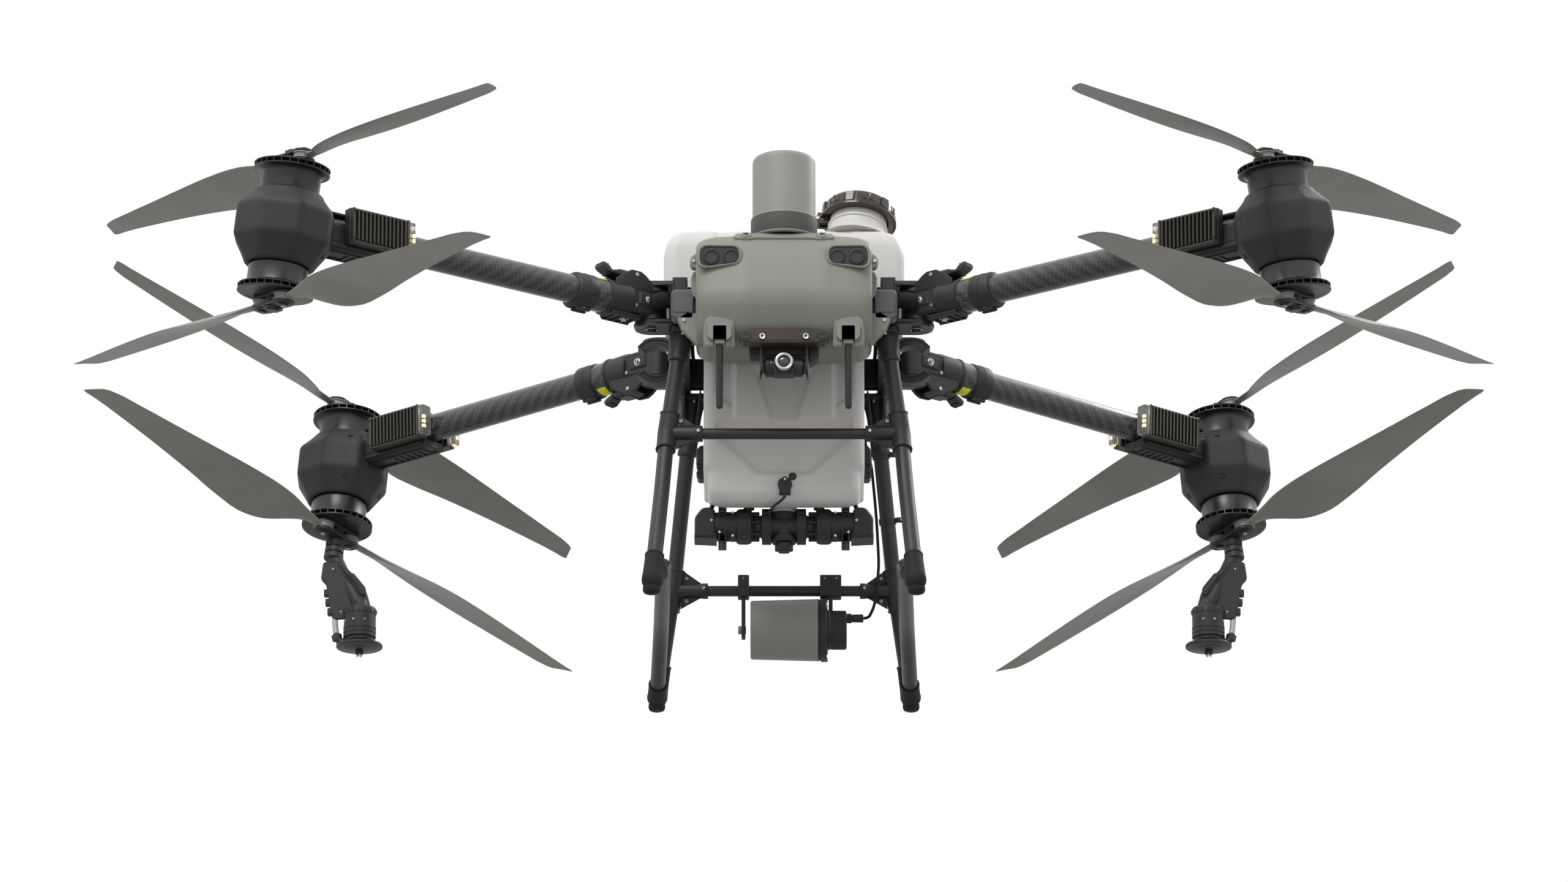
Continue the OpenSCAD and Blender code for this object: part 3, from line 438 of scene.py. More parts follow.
M = {
    "carbon": carbon("carbon_twill"),
    "black": mat("satin_black", (0.022, 0.022, 0.024), 0.42, bump=0.06, scale=500),
    "frame": mat("black_anodised", (0.028, 0.028, 0.031), 0.36, metal=0.25, bump=0.05, scale=700),
    "plastic": mat("moulded_black", (0.02, 0.02, 0.021), 0.52, bump=0.10, scale=900),
    "rubber": mat("black_rubber", (0.014, 0.014, 0.014), 0.72, bump=0.15, scale=600, spec=0.3),
    "motor": mat("motor_anodised", (0.055, 0.054, 0.056), 0.33, metal=0.7, bump=0.04, scale=400,
                 stretch=(1, 1, 8)),
    "pad": mat("grained_black", (0.020, 0.019, 0.0185), 0.6, bump=0.55, scale=330, kind="voronoi"),
    "esc": mat("olive_anodised", (0.060, 0.057, 0.046), 0.42, metal=0.5, bump=0.05, scale=500),
    "blade": mat("blade_composite", (0.235, 0.222, 0.205), 0.44, bump=0.10, scale=260, vary=0.10,
                 coat=0.05),
    "shell": mat("sage_grey_paint", (0.215, 0.221, 0.185), 0.50, bump=0.12, scale=1400, vary=0.03),
    "radar": mat("radar_grey", (0.245, 0.249, 0.224), 0.48, bump=0.10, scale=1200, vary=0.03),
    "radar_dark": mat("radar_band", (0.070, 0.071, 0.066), 0.5, bump=0.08, scale=900),
    "tank": mat("tank_polyethylene", (0.62, 0.605, 0.585), 0.46, bump=0.14, scale=420, vary=0.025,
                sheen=0.0),
    "cap": mat("smoked_cap", (0.030, 0.016, 0.012), 0.22, coat=0.4, bump=0.05, scale=300, trans=0.12,
               ior=1.49),
    "steel": mat("silver_steel", (0.62, 0.62, 0.63), 0.25, metal=1.0, bump=0.03, scale=900),
    "dark_screw": mat("dark_screw", (0.07, 0.07, 0.075), 0.34, metal=0.8, bump=0.03, scale=900),
    "yellow": mat("yellow_patch", (0.86, 0.80, 0.02), 0.5, bump=0.05, scale=700, vary=0.03),
    "grey": mat("cover_grey", (0.085, 0.085, 0.09), 0.46, bump=0.10, scale=800),
    "hose": mat("pale_hose", (0.42, 0.42, 0.43), 0.38, bump=0.05, scale=500, coat=0.2),
    "lens": mat("dark_lens", (0.01, 0.01, 0.014), 0.06, coat=1.0, bump=0.01, scale=40),
    "reflector": mat("reflector", (0.82, 0.83, 0.84), 0.12, metal=1.0, bump=0.03, scale=90),
    "lamp": mat("lamp_clear", (0.86, 0.87, 0.86), 0.08, trans=0.9, ior=1.45, bump=0.02, scale=60),
    "led": mat("warm_led", (0.85, 0.7, 0.4), 0.3, emit=((1.0, 0.78, 0.42), 1.2), bump=0.02),
    "bar": mat("brown_bar", (0.045, 0.036, 0.030), 0.40, metal=0.3, bump=0.06, scale=600),
}


def piece(name, part, material, body, replaces=(), angle=38.0, uv=None):
    v, f = part if not isinstance(part, list) else join(*part)
    me = bpy.data.meshes.new(name)
    me.from_pydata((np.asarray(v) * MM).tolist(), [], f)
    me.validate()
    me.update()
    me.polygons.foreach_set("use_smooth", [True] * len(me.polygons))
    me.set_sharp_from_angle(angle=math.radians(angle))
    if uv is not None:
        layer = me.uv_layers.new(name="UVMap")
        idx = np.zeros(len(me.loops), int)
        me.loops.foreach_get("vertex_index", idx)
        layer.data.foreach_set("uv", np.asarray(uv, float)[idx].ravel())
    me.materials.append(M[material])
    ob = bpy.data.objects.new(name, me)
    bpy.context.scene.collection.objects.link(ob)
    if body:
        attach(ob, body)
    if replaces:
        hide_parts(*replaces)
    return ob


SIDES = (("left", MIRROR), ("right", np.eye(4)))


# ---------- places, the same values as the solids ----------
FRONT_HINGE, REAR_HINGE = (231, -193, 562), (226, 242, 605)
# for each end: place, lean, hinge, rise of the arm, angles of the two blades
PODS = {"front": ((844, -660, 540), (-0.118, -0.059, 1), FRONT_HINGE, -4, (57, -123)),
        "rear": ((816, 687, 540), (-0.074, 0.145, 1), REAR_HINGE, -28, (126.8, -53.2))}
HUB_Z, PLATE, PIN_GAP, PIN_R = 114.2, 4, 12.6, 36
PROP_Z = HUB_Z + PLATE + PIN_GAP / 2
HUB_TOP = HUB_Z + 2 * PLATE + PIN_GAP
BLADE_LEN = 650


def at_pod(end):
    place, lean = PODS[end][:2]
    az = math.degrees(math.atan2(lean[1], lean[0]))
    tilt = math.degrees(math.acos(1 / np.linalg.norm(lean)))
    return mul(move(place), rot("z", az), rot("y", tilt), rot("z", -az))


def at_arm(end):
    place, hinge = PODS[end][0], PODS[end][2]
    return mul(move(hinge), rot("z", math.degrees(math.atan2(place[1] - hinge[1],
                                                            place[0] - hinge[0]))))


def reach(end):
    place, hinge = PODS[end][0], PODS[end][2]
    return math.hypot(place[0] - hinge[0], place[1] - hinge[1])


def slope(end):
    return rot("y", -math.degrees(math.atan2(PODS[end][3], reach(end))))


# ---------- blades ----------
TABLE = np.array([
    (0.000, 0.24, 0.10, 0, 8.5), (0.020, 0.27, 0.12, 1, 8.5), (0.070, 0.40, 0.20, 14, 9),
    (0.115, 0.55, 0.41, 24, 9), (0.170, 0.78, 0.76, 25, 8.6), (0.245, 0.94, 1.00, 22, 8.2),
    (0.350, 1.00, 0.99, 18, 7.4), (0.490, 0.94, 0.83, 14, 6.4), (0.660, 0.80, 0.64, 11, 5.2),
    (0.830, 0.64, 0.47, 9, 4.2), (0.940, 0.48, 0.37, 8, 3.2), (0.966, 0.36, 0.35, 8, 2.6),
    (0.972, 0.28, 0.32, 8, 1.6)])


def spline(x, xs, ys):
    """A smooth cubic through the table."""
    m = np.gradient(ys, xs)
    i = np.clip(np.searchsorted(xs, x) - 1, 0, len(xs) - 2)
    h = xs[i + 1] - xs[i]
    t = (x - xs[i]) / h
    return ((2 * t**3 - 3 * t**2 + 1) * ys[i] + (t**3 - 2 * t**2 + t) * h * m[i]
            + (-2 * t**3 + 3 * t**2) * ys[i + 1] + (t**3 - t**2) * h * m[i + 1])


def blade_part():
    s = np.concatenate([np.linspace(0.0, 0.26, 16), np.linspace(0.29, 0.93, 20),
                        np.linspace(0.94, 0.966, 4), [0.972]])
    n = 28
    a = np.arange(n) * 2 * PI / n
    loops = []
    for q in s:
        lead, trail, twist, thick = (spline(q, TABLE[:, 0], TABLE[:, k]) for k in (1, 2, 3, 4))
        u = np.cos(a)
        w = np.where(u > 0, u * lead * 31, u * trail * 66)
        # a fuller leading edge, a thin trailing one and a little camber
        t = np.sin(a) * thick / 2 * np.where(u > 0, 1, np.sqrt(np.clip(1 - 0.75 * u * u, 0.05, 1)))
        t = t + 0.035 * 97 * trail * (1 - u * u) * min(1, q * 6)
        rake = 0.8 * max(0, q - 0.9) / 0.072
        tw = math.radians(twist)
        loops.append(np.stack([q * BLADE_LEN - w * rake, w * math.cos(tw) - t * math.sin(tw),
                               w * math.sin(tw) + t * math.cos(tw)], 1))
    return rings(loops)


def eye_part():
    eye = tube(17, 5.05, 12, 44, 1.6, -6)
    return join(eye, tube(19.2, 14.5, 2.4, 44, 0.5, 3.2), tube(19.2, 14.5, 2.4, 44, 0.5, -5.6))


BLADE, EYE = blade_part(), eye_part()


# ---------- rotors ----------
def lobes(r, waist, x=PIN_R, n=14):
    a = np.linspace(-105, 105, n)
    right = [(x + r * math.cos(math.radians(d)), r * math.sin(math.radians(d))) for d in a]
    xs = np.linspace(x * 0.72, -x * 0.72, 13)
    top = [(q, waist + (r * 0.965 - waist) * (abs(q) / (x * 0.72))**2) for q in xs]
    left = [(-p[0], -p[1]) for p in right]
    return right + top + left + [(-q, -w) for q, w in top]


def rotor_parts(phase, hollow):
    dark = [lathe([(49, 66), (51, 67), (51, 95), (52.5, 98), (57, 101.2), (62, 102), (62, 102.6),
                   (53, 103), (50, 103)], 72, (False, False)),
            lathe([(47.0, 66), (47.0, 72), (15, 72)], 72, (False, False)),
            lathe([(47, 66), (49, 66)], 72, (False, False)),
            lathe([(50.5, 103), (50.5, 110)], 72, (False, False)),
            lathe([(50.5, 110.4), (64.2, 110.4), (65, 111.2), (65, 112.4), (63.6, 113), (58, 113.2),
                   (20, 114.1), (16, 114.1)], 96, (False, False)),
            lathe([(62, 101.9), (64.4, 102), (65, 102.8), (65, 104), (64, 104.6), (50, 104.6)], 96,
                  (False, False))]
    for i in range(28):
        dark.append(put(span((49, -0.9, 104.2), (64.6, 0.9, 110.8), 0.2), rot("z", i * 360 / 28)))
    for i in range(6):
        dark.append(put(cyl(2.1, 1.0, 16, 0.3, 113), rot("z", i * 60 + 30), move(44, 0, 0)))
    hub = []
    for z in (HUB_Z, HUB_Z + PLATE + PIN_GAP):
        hub.append(prism(lobes(19, 16), PLATE, 0.9, z))
    hub.append(prism(lobes(13.5, 10), 1.6, 0.7, HUB_TOP - 0.2))
    hub.append(cyl(14, PIN_GAP + 2, 40, 0.4, HUB_Z + 3))
    if not hollow:
        star = [((16.5 if k % 2 else 14.0) * math.cos(k * PI / 8),
                 (16.5 if k % 2 else 14.0) * math.sin(k * PI / 8))
                for k in range(16)]
        hub.append(prism(star, 5, 1.2, HUB_TOP))
        hub.append(cyl(11, 2.4, 32, 0.8, HUB_TOP + 4.6))
    for s in (-1, 1):
        hub.append(put(cyl(8.6, 3.0, 32, 1.0, HUB_TOP + 1), move(s * PIN_R, 0, 0)))
        hub.append(put(cyl(5, PIN_GAP + 8, 24, 0.3, HUB_Z), move(s * PIN_R, 0, 0)))
    steel = [cyl(13 if not hollow else 14.4, HUB_Z - 112, 36, 0.3, 112.6)]
    for s in (-1, 1):
        steel.append(put(hexhead(7.6, 2.4), move(s * PIN_R, 0, HUB_TOP + 3.4)))
    turn = rot("z", phase)
    return dark, [put(join(*hub), turn)], [put(join(*steel), turn)]


# ---------- motor pods ----------
def octagon(z):
    """The apothem of the housing at z and how much of an octagon it is there."""
    zs = [-65, -60, -50, -22, 32, 52, 60, 65]
    ap = [57, 59.5, 64, 79, 79, 64, 59.5, 57]
    sh = [0.0, 0.15, 0.55, 1, 1, 0.55, 0.15, 0.0]
    return np.interp(z, zs, ap), np.interp(z, zs, sh)


def housing_radius(z, a):
    ap, sh = octagon(z)
    k = sum(np.clip(np.cos(a - i * PI / 4), 0, 1) ** 46 for i in range(8)) ** (-1 / 46)
    return ap * ((1 - sh) * 1.02 + sh * k * 1.03)


def housing():
    a = np.arange(128) * 2 * PI / 128
    zs = [-65, -64, -62, -59, -54, -48, -42, -36, -30, -25, -22, -19, -12, 0, 12, 22, 28, 32, 36, 40,
          46, 52, 56, 60, 62.5, 64, 65]

    def loop(r, z):
        return np.stack([r * np.cos(a), r * np.sin(a), np.full(len(a), z)], 1)

    loops = [loop(49.6, -63.0), loop(53.5, -65.0)]
    for z in zs:
        # averaged over 8 mm, so that the octagon's corners fade in
        r = sum(housing_radius(z + d, a) * 0.2 for d in (-4, -2, 0, 2, 4))
        cut = max(0, abs(z) - 62) ** 1.5 * 0.6
        loops.append(loop(r - cut, float(z)))
    loops += [loop(53.5, 65.0), loop(49.6, 63.0)]
    return rings(loops, caps=(False, False))


def pod_pieces(end, sd, S):
    A = mul(S, at_pod(end))
    arm = mul(S, at_arm(end), slope(end))
    body = f"{end}_{sd}_arm"
    pod = f"{end}_{sd}_pod"
    place, hinge = PODS[end][0], PODS[end][2]
    az = math.degrees(math.atan2(hinge[1] - place[1], hinge[0] - place[0]))
    piece(pod + "_housing", put(housing(), A), "pad", body, (pod,), angle=60)
    dark = []
    for z in (-38, 38):
        for d in (-42, 42):
            a = math.radians(az + d)
            r = float(housing_radius(z, np.array([a]))[0])
            tilt = 28 if z > 0 else -28
            m = mul(rot("z", az + d), move(r - 2.2, 0, z), rot("y", 90 - tilt))
            bush = join(tube(6.2, 4.4, 2.6, 28, 0.6), lathe([(4.4, 1.2), (0.1, 1.2)], 28, (False, False)))
            dark.append(put(bush, m))
    # stator core seen between the can and the housing
    for z in (-1, 1):
        dark.append(put(lathe([(46, 60), (46, 66)], 64, (False, False)), FLIP if z < 0 else np.eye(4)))
    # the pad's side pockets beside the arm
    for d in (-1, 1):
        dark.append(put(span((76, -9, -22), (82.5, 9, 26), 3), rot("z", az + d * 30)))
    piece(pod + "_core", put(join(*dark), A), "rubber", body)
    # speed controllers on both sides of the arm root
    R = reach(end)
    x0 = R - 104 - 128
    esc, led, lit, screw = [], [], [], []
    for s in (-1, 1):
        T = np.eye(4) if s > 0 else np.diag([1.0, -1, 1, 1])
        parts = [span((x0 + 8, 28, -29), (x0 + 128, 46, 33), 1.6)]
        for i in range(13):
            x = x0 + 17 + i * 8.0
            parts.append(span((x, 44, -25), (x + 3.4, 54, 29), 0.9))
        parts.append(span((x0 + 10, 44, -28), (x0 + 15, 54, 32), 1.4))
        parts.append(span((x0 + 121, 44, -28), (x0 + 127, 54, 32), 1.4))
        for z in (-27, 29.5):
            parts.append(span((x0 + 12, 44, z - 2), (x0 + 125, 52, z + 2), 1.0))
        esc.append(put(join(*parts), T))
        led.append(put(prism(rounded(24, 56, 4), 11, 1.2),
                       T, move(x0 + 9, 41, 2), rot("y", -90), rot("z", 90)))
        for k in range(3):
            lit.append(put(span((x0 - 2.4, 44, -14 + k * 9), (x0 + 2, 50, -8 + k * 9), 0.5), T))
        for z in (-22, 26):
            screw.append(put(hexhead(5, 2), T, move(x0 + 124, 54, z), rot("x", -90)))
    piece(pod + "_sinks", put(join(*esc), arm), "esc", body, angle=30)
    piece(pod + "_led_blocks", put(join(*led), arm), "lamp", body)
    piece(pod + "_leds", put(join(*lit), arm), "led", body)
    far, near = R - 66, x0 + 14
    c = [span((near, -27, -40), (far, 27, -24), 2.2), span((near + 6, -31, -36), (far, 31, -30), 1.2),
         span((near, -27.5, -26), (far, -22, 4), 1.2), span((near, 22, -26), (far, 27.5, 4), 1.2),
         span((near + 4, -20, 24), (far, 20, 29.5), 2), span((near, -26, 16), (near + 20, 26, 27), 2)]
    for k in range(6):
        c.append(span((near + 18 + k * 14, -12, -42.5), (near + 24 + k * 14, 12, -39), 1))
    for s in (-1, 1):
        c.append(span((near + 8, s * 16 - 2, -43), (far - 8, s * 16 + 2, -39), 0.8))
    piece(pod + "_cradle", put(join(*c), arm), "plastic", body)
    for x in (near + 7, near + 60, far - 10):
        for s in (-1, 1):
            screw.append(put(hexhead(5, 2), move(x, s * 22, -39.5), rot("x", 180)))
    piece(pod + "_screws", put(join(*screw), arm), "dark_screw", body)


for end in ("front", "rear"):
    for sd, S in SIDES:
        pod_pieces(end, sd, S)
        phases = PODS[end][4]
        for lv, e in (("upper", 1), ("lower", -1)):
            F = np.eye(4) if e > 0 else FLIP
            hollow = end == "rear" and e < 0
            rb = f"{end}_{sd}_{lv}_rotor"
            d, h, st = rotor_parts(phases[0], hollow)
            A = mul(S, at_pod(end), F)
            piece(rb + "_can", put(join(*d), A), "motor", rb, (rb,), angle=32)
            piece(rb + "_hub", put(join(*h), A), "black", rb)
            piece(rb + "_screws", put(join(*st), A), "steel", rb)
            spin = -e if end == "front" else e
            for k, c in enumerate("ab"):
                B = mul(S, at_pod(end), rot("z", phases[k]), move(PIN_R, 0, e * PROP_Z),
                        np.diag([1.0, spin, 1, 1]))
                nm = f"{end}_{sd}_{lv}_blade_{c}"
                piece(nm + "_skin", put(BLADE, B), "blade", nm, (nm,), angle=50)
                piece(nm + "_eye", put(EYE, B), "blade", nm, angle=30)


# ---------- arms ----------
def woven(r, x0, x1, n=48, tow=6.6):
    """A carbon tube along X with UVs in tows."""
    m = max(2, int((x1 - x0) / 12))
    around = max(8, 4 * round(2 * PI * r / tow / 4))
    xs = np.linspace(x0, x1, m + 1)
    v, uv, f = [], [], []
    for i, x in enumerate(xs):
        for k in range(n + 1):
            a = 2 * PI * k / n
            v.append((x, r * math.cos(a), r * math.sin(a)))
            uv.append(((x - x0) / tow, around * k / n))
    w = n + 1
    for i in range(m):
        for k in range(n):
            f.append((i * w + k, (i + 1) * w + k, (i + 1) * w + k + 1, i * w + k + 1)[::-1])
    return np.array(v), f, np.array(uv)


def along_x(part):
    return put(part, rot("y", 90))


def sector(r0, r1, x0, x1, a0, a1, n=14):
    loops = []
    for k in range(n + 1):
        a = math.radians(a0 + (a1 - a0) * k / n)
        c, s = math.cos(a), math.sin(a)
        loops.append(np.array([(x0, r0 * c, r0 * s), (x1, r0 * c, r0 * s), (x1, r1 * c, r1 * s),
                               (x0, r1 * c, r1 * s)]))
    return rings(loops)


def side_prism(pts, y0, y1, c=1.2):
    """An outline in X and Z extruded along Y."""
    return put(prism(pts, abs(y1 - y0), c), move(0, max(y0, y1), 0), rot("x", 90))


def arm_pieces(end, sd, S):
    base = mul(S, at_arm(end))
    A = mul(base, slope(end))
    arm, lock = f"{end}_{sd}_arm", f"{end}_{sd}_lock"
    R = reach(end)
    up = 1 if end == "front" else -1
    U = np.eye(4) if up > 0 else FLIP
    for tag, r, x0, x1 in (("tube", 25.0, 100, R - 62), ("cuff", 29.4, 104, 134)):
        v, f, uv = woven(r, x0, x1)
        v, f = put((v, f), A)
        piece(f"{arm}_{tag}", (v, f), "carbon", arm, (arm,) if tag == "tube" else (),
              angle=60, uv=uv)
    p = [along_x(lathe([(20, 56), (29, 56), (31.5, 58), (32, 64), (31, 96), (31, 100), (32.6, 101),
                        (32.6, 104.5), (31, 105.5), (25.2, 105.5)], 64, (False, False))),
         along_x(lathe([(25.1, 133), (30.6, 133), (31.2, 134), (31.2, 168), (30, 171), (27, 173.5),
                        (25.1, 174)], 64, (False, False)))]
    # clamp lugs and the slot between them, under the arm
    for s in (-1, 1):
        p.append(span((138, s * 3, -37), (168, s * 10, -26), 1.6))
        p.append(sector(30.8, 33.2, 136, 170, -90 + s * 18, -90 + s * 62))
    p.append(along_x(lathe([(30.9, 150.6), (31.9, 151), (31.9, 152), (30.9, 152.4)], 64, (False, False))))
    # hinge block
    p.append(span((4, -25, -24), (64, 25, 24), 4))
    p.append(span((8, -28.5, -10), (46, 28.5, 14), 3))
    p.append(span((36, -20, -32), (98, 20, -26) if up > 0 else (98, 20, -26), 1.5))
    for k in range(4):
        p.append(span((44 + k * 14, -18, -35), (47 + k * 14, 18, -31), 0.6))
    for s in (-1, 1):
        p.append(span((38, s * 17 - 1.5, -35), (96, s * 17 + 1.5, -31), 0.6))
    piece(arm + "_sleeve", put(join(*p), A), "plastic", arm, angle=34)
    k = [lathe([(8.05, -30), (27, -30), (29, -28.6), (29, -22), (26.6, -20), (26.6, 20), (29, 22),
                (29, 28.6), (27, 30), (8.05, 30)], 56, (False, False), closed=True)]
    for s in (-1, 1):
        k.append(put(side_prism([(14, 16), (14, 34), (30, 47), (40, 52), (60, 52), (78, 42), (92, 31),
                                 (92, 18)], s * 18.6, s * 25, 1.4), U))
    k.append(put(span((12, -20, 24), (36, 20, 33), 3), U))
    piece(arm + "_knuckle", put(join(*k), base), "frame", arm, angle=34)
    y = sector(29.5, 30.2, 108, 127, 62, 128) if up > 0 else sector(29.5, 30.2, 108, 127, -128, -62)
    piece(arm + "_patch", put(y, A), "yellow", arm)
    s = []
    for sg in (-1, 1):
        s.append(put(hexhead(5.2, 2.2), move(153, sg * 10, -31), rot("x", 90 * sg)))
        s.append(put(hexhead(9.5, 5), move(26, sg * 28, 2), rot("x", -90 * sg)))
        s.append(put(cyl(7, 1.4, 28, 0.3), move(26, sg * 27.6, 2), rot("x", -90 * sg)))
        s.append(put(hexhead(6.5, 3), move(52, sg * 24.6, -12), rot("x", -90 * sg)))
    s.append(put(join(cyl(7.5, 1.2, 28, 0.3), hexhead(9.5, 4.6)), move(60, 0, -32), rot("x", 180)))
    s.append(put(hexhead(4.4, 2), U, move(24, 0, 32.6)))
    piece(arm + "_bolts", put(join(*s), A), "steel", arm)
    # lever
    lv = [side_prism([(41, 39.5), (40, 46), (46, 50), (60, 51), (84, 49.5), (97, 47), (97, 42.5),
                      (84, 40.5)], -15.6, 15.6, 1.6),
          side_prism([(92, 44), (93, 50), (98, 55), (105, 58.4), (111, 59), (115, 56.5), (115, 51),
                      (110, 47), (103, 43.6), (96, 41.6)], -12.5, 12.5, 2.4)]
    for q in range(4):
        lv.append(put(cyl(1.1, 22, 10, 0.4), move(101 + q * 3.4, 11, 57.4 + q * 0.7 - (q == 3) * 0.4),
                      rot("x", 90)))
    lv.append(span((56, -13, 49.5), (80, 13, 52.5), 1.4))
    piece(lock + "_lever", put(join(*lv), base, U), "black", lock, (lock,), angle=34)
    pin = [put(cyl(3, 52, 20, 0.5), move(50, 26, 44), rot("x", 90))]
    for sg in (-1, 1):
        pin.append(put(hexhead(7, 2), move(50, sg * 25, 44), rot("x", -90 * sg)))
    piece(lock + "_pin", put(join(*pin), base, U), "steel", lock)


for end in ("front", "rear"):
    for sd, S in SIDES:
        arm_pieces(end, sd, S)


# ---------- landing gear ----------
CROSS_F, CROSS_R = (203, -187, 333), (198, 313, 199)
LEG_TOP = (521.7, 545)
F_LEG = [(178, -187, LEG_TOP[0]), CROSS_F, (211, -237, 212), (226, -330, 19)]
SKID = [(226, -330, 19), (207, -243, 80), (217, 146, 80), (228, 398, 19)]
R_LEG = [(164, 263, LEG_TOP[1]), CROSS_R, (228, 398, 19)]


def toward(a, b, d):
    a, b = np.array(a, float), np.array(b, float)
    return tuple(a + (b - a) / np.linalg.norm(b - a) * d)


def sleeve(a, b, r, wall=3.0):
    """A short collar on a tube, with a lip at its far end."""
    L = float(np.linalg.norm(np.array(b) - np.array(a)))
    return put(lathe([(r - wall, 0), (r, 0.2), (r, L - 4), (r + 1.2, L - 3), (r + 1.2, L - 1),
                      (r, L), (r - wall, L)], 40, (False, False)), aim(a, b))


def plate(pts, thick, c=0.8):
    """A flat plate through three or more points in space."""
    p = np.array(pts, float)
    n = np.cross(p[1] - p[0], p[2] - p[0])
    n /= np.linalg.norm(n)
    c0 = p.mean(axis=0)
    x = (p[1] - p[0]) / np.linalg.norm(p[1] - p[0])
    y = np.cross(n, x)
    q = np.stack([(p - c0) @ x, (p - c0) @ y], 1)
    m = np.eye(4)
    m[:3, 0], m[:3, 1], m[:3, 2], m[:3, 3] = x, y, n, c0
    return put(prism(q, thick, c, -thick / 2), m)


for sd, S in SIDES:
    g = sd + "_landing_gear"
    t = [sweep(smooth_path(p, soft=0.5), 13.5, 36) for p in (F_LEG, SKID, R_LEG)]
    piece(g + "_tubes", put(join(*t), S), "black", "airframe", (g,), angle=50)
    p, s = [], []
    # sockets at the leg tops, flared into the frame
    for leg, inward in ((F_LEG, 1), (R_LEG, -1)):
        a, b = leg[0], leg[1]
        L = float(np.linalg.norm(np.array(b) - np.array(a)))
        q = L * 0.3
        p.append(put(lathe([(13.5, q), (16.6, q), (17.4, q - 1.4), (17.4, q - 8), (16.6, q - 10),
                            (18.6, 34), (22, 6), (22, 0)][::-1], 40, (False, False)), aim(a, b)))
        foot = toward(a, b, q - 6)
        for x in (-16, 16):
            p.append(plate([(a[0] + x * 0.9, a[1] + inward * 18, a[2] - 3),
                            (a[0] + x * 0.9, a[1] + inward * 56, a[2] - 3),
                            (foot[0] + x * 0.6, foot[1] + inward * 14, foot[2] + 4)], 3.2))
        p.append(span((a[0] - 24, a[1] - 34, a[2] - 11),
                      (a[0] + 18, a[1] + 50 if inward > 0 else a[1] + 34, a[2]), 2.4))
        for yy in (-24, 24):
            s.append(put(hexhead(8, 4), move(a[0] - 3, a[1] + yy, a[2] - 11), rot("x", 180)))
        s.append(put(hexhead(6, 2.5), move(foot[0] + 17, foot[1], foot[2] + 10), rot("y", 90)))
    # tees that hold the cross tubes
    for c, lo, hi in ((CROSS_F, F_LEG[2], F_LEG[0]), (CROSS_R, R_LEG[2], R_LEG[0])):
        c0 = np.array(c, float)
        p.append(sleeve(toward(c, hi, -2), toward(c, hi, 38), 16.4))
        p.append(sleeve(toward(c, lo, -2), toward(c, lo, 38), 16.4))
        p.append(sweep(np.array([toward(c, hi, 12), c, toward(c, lo, 12)]), 16.6, 40))
        p.append(put(lathe([(9.5, 0), (13.4, 0), (13.4, 52), (14.1, 53), (14.1, 61), (13.4, 62), (9.5, 62)],
                           36, (False, False)), move(c), rot("y", -90)))
        for z in (1, -1):
            far = toward(c, hi if z > 0 else lo, 32)
            p.append(plate([(c0[0] - 14, c0[1] - 3, c0[2] + z * 12),
                            (c0[0] - 50, c0[1] - 3, c0[2] + z * 13),
                            (far[0] - 17, far[1] - 3, far[2] + z * 2)], 5))
            s.append(put(hexhead(6, 3), move(c0[0] - 24, c0[1] - 5.5, c0[2] + z * 21), rot("x", 90)))
            p.append(put(cyl(5.6, 7, 24, 1), move(c0[0] - 24, c0[1], c0[2] + z * 21), rot("x", 90)))
        s.append(put(hexhead(6, 3), move(c0[0] - 54, c0[1] - 15, c0[2] + 1), rot("x", 90)))
    piece(g + "_sockets", put(join(*p), S), "plastic", "airframe", angle=36)
    # rubber feet
    f = []
    for a, b, c in ((SKID[0], SKID[1], F_LEG[2]), (SKID[3], SKID[2], CROSS_R)):
        u, w = np.array(toward(a, c, 62)), np.array(toward(a, b, 58))
        path = smooth_path([tuple(u), a, tuple(w)], soft=0.62)
        r = 16.0 + 2.6 * (1 - np.abs(np.linspace(-1, 1, len(path)))) ** 0.5
        f.append(sweep(path, r, 40))
        for q, o in ((u, c), (w, b)):
            f.append(put(tube(16.8, 14.0, 4, 40, 0.6, -2), aim(q, o)))
        f.append(put(lathe([(0.1, 0), (10, 0), (13, 1.4), (15, 5), (15, 12), (0.1, 12)], 40),
                     move(a[0], a[1], 0)))
    piece(g + "_feet", put(join(*f), S), "rubber", "airframe", angle=36)
    piece(g + "_screws", put(join(*s), S), "steel", "airframe")

t = [rod((-c[0] + 8, c[1], c[2]), (c[0] - 8, c[1], c[2]), 9.6, 32) for c in (CROSS_F, CROSS_R)]
piece("cross_tube_pair", join(*t), "black", "airframe", ("cross_tubes",))

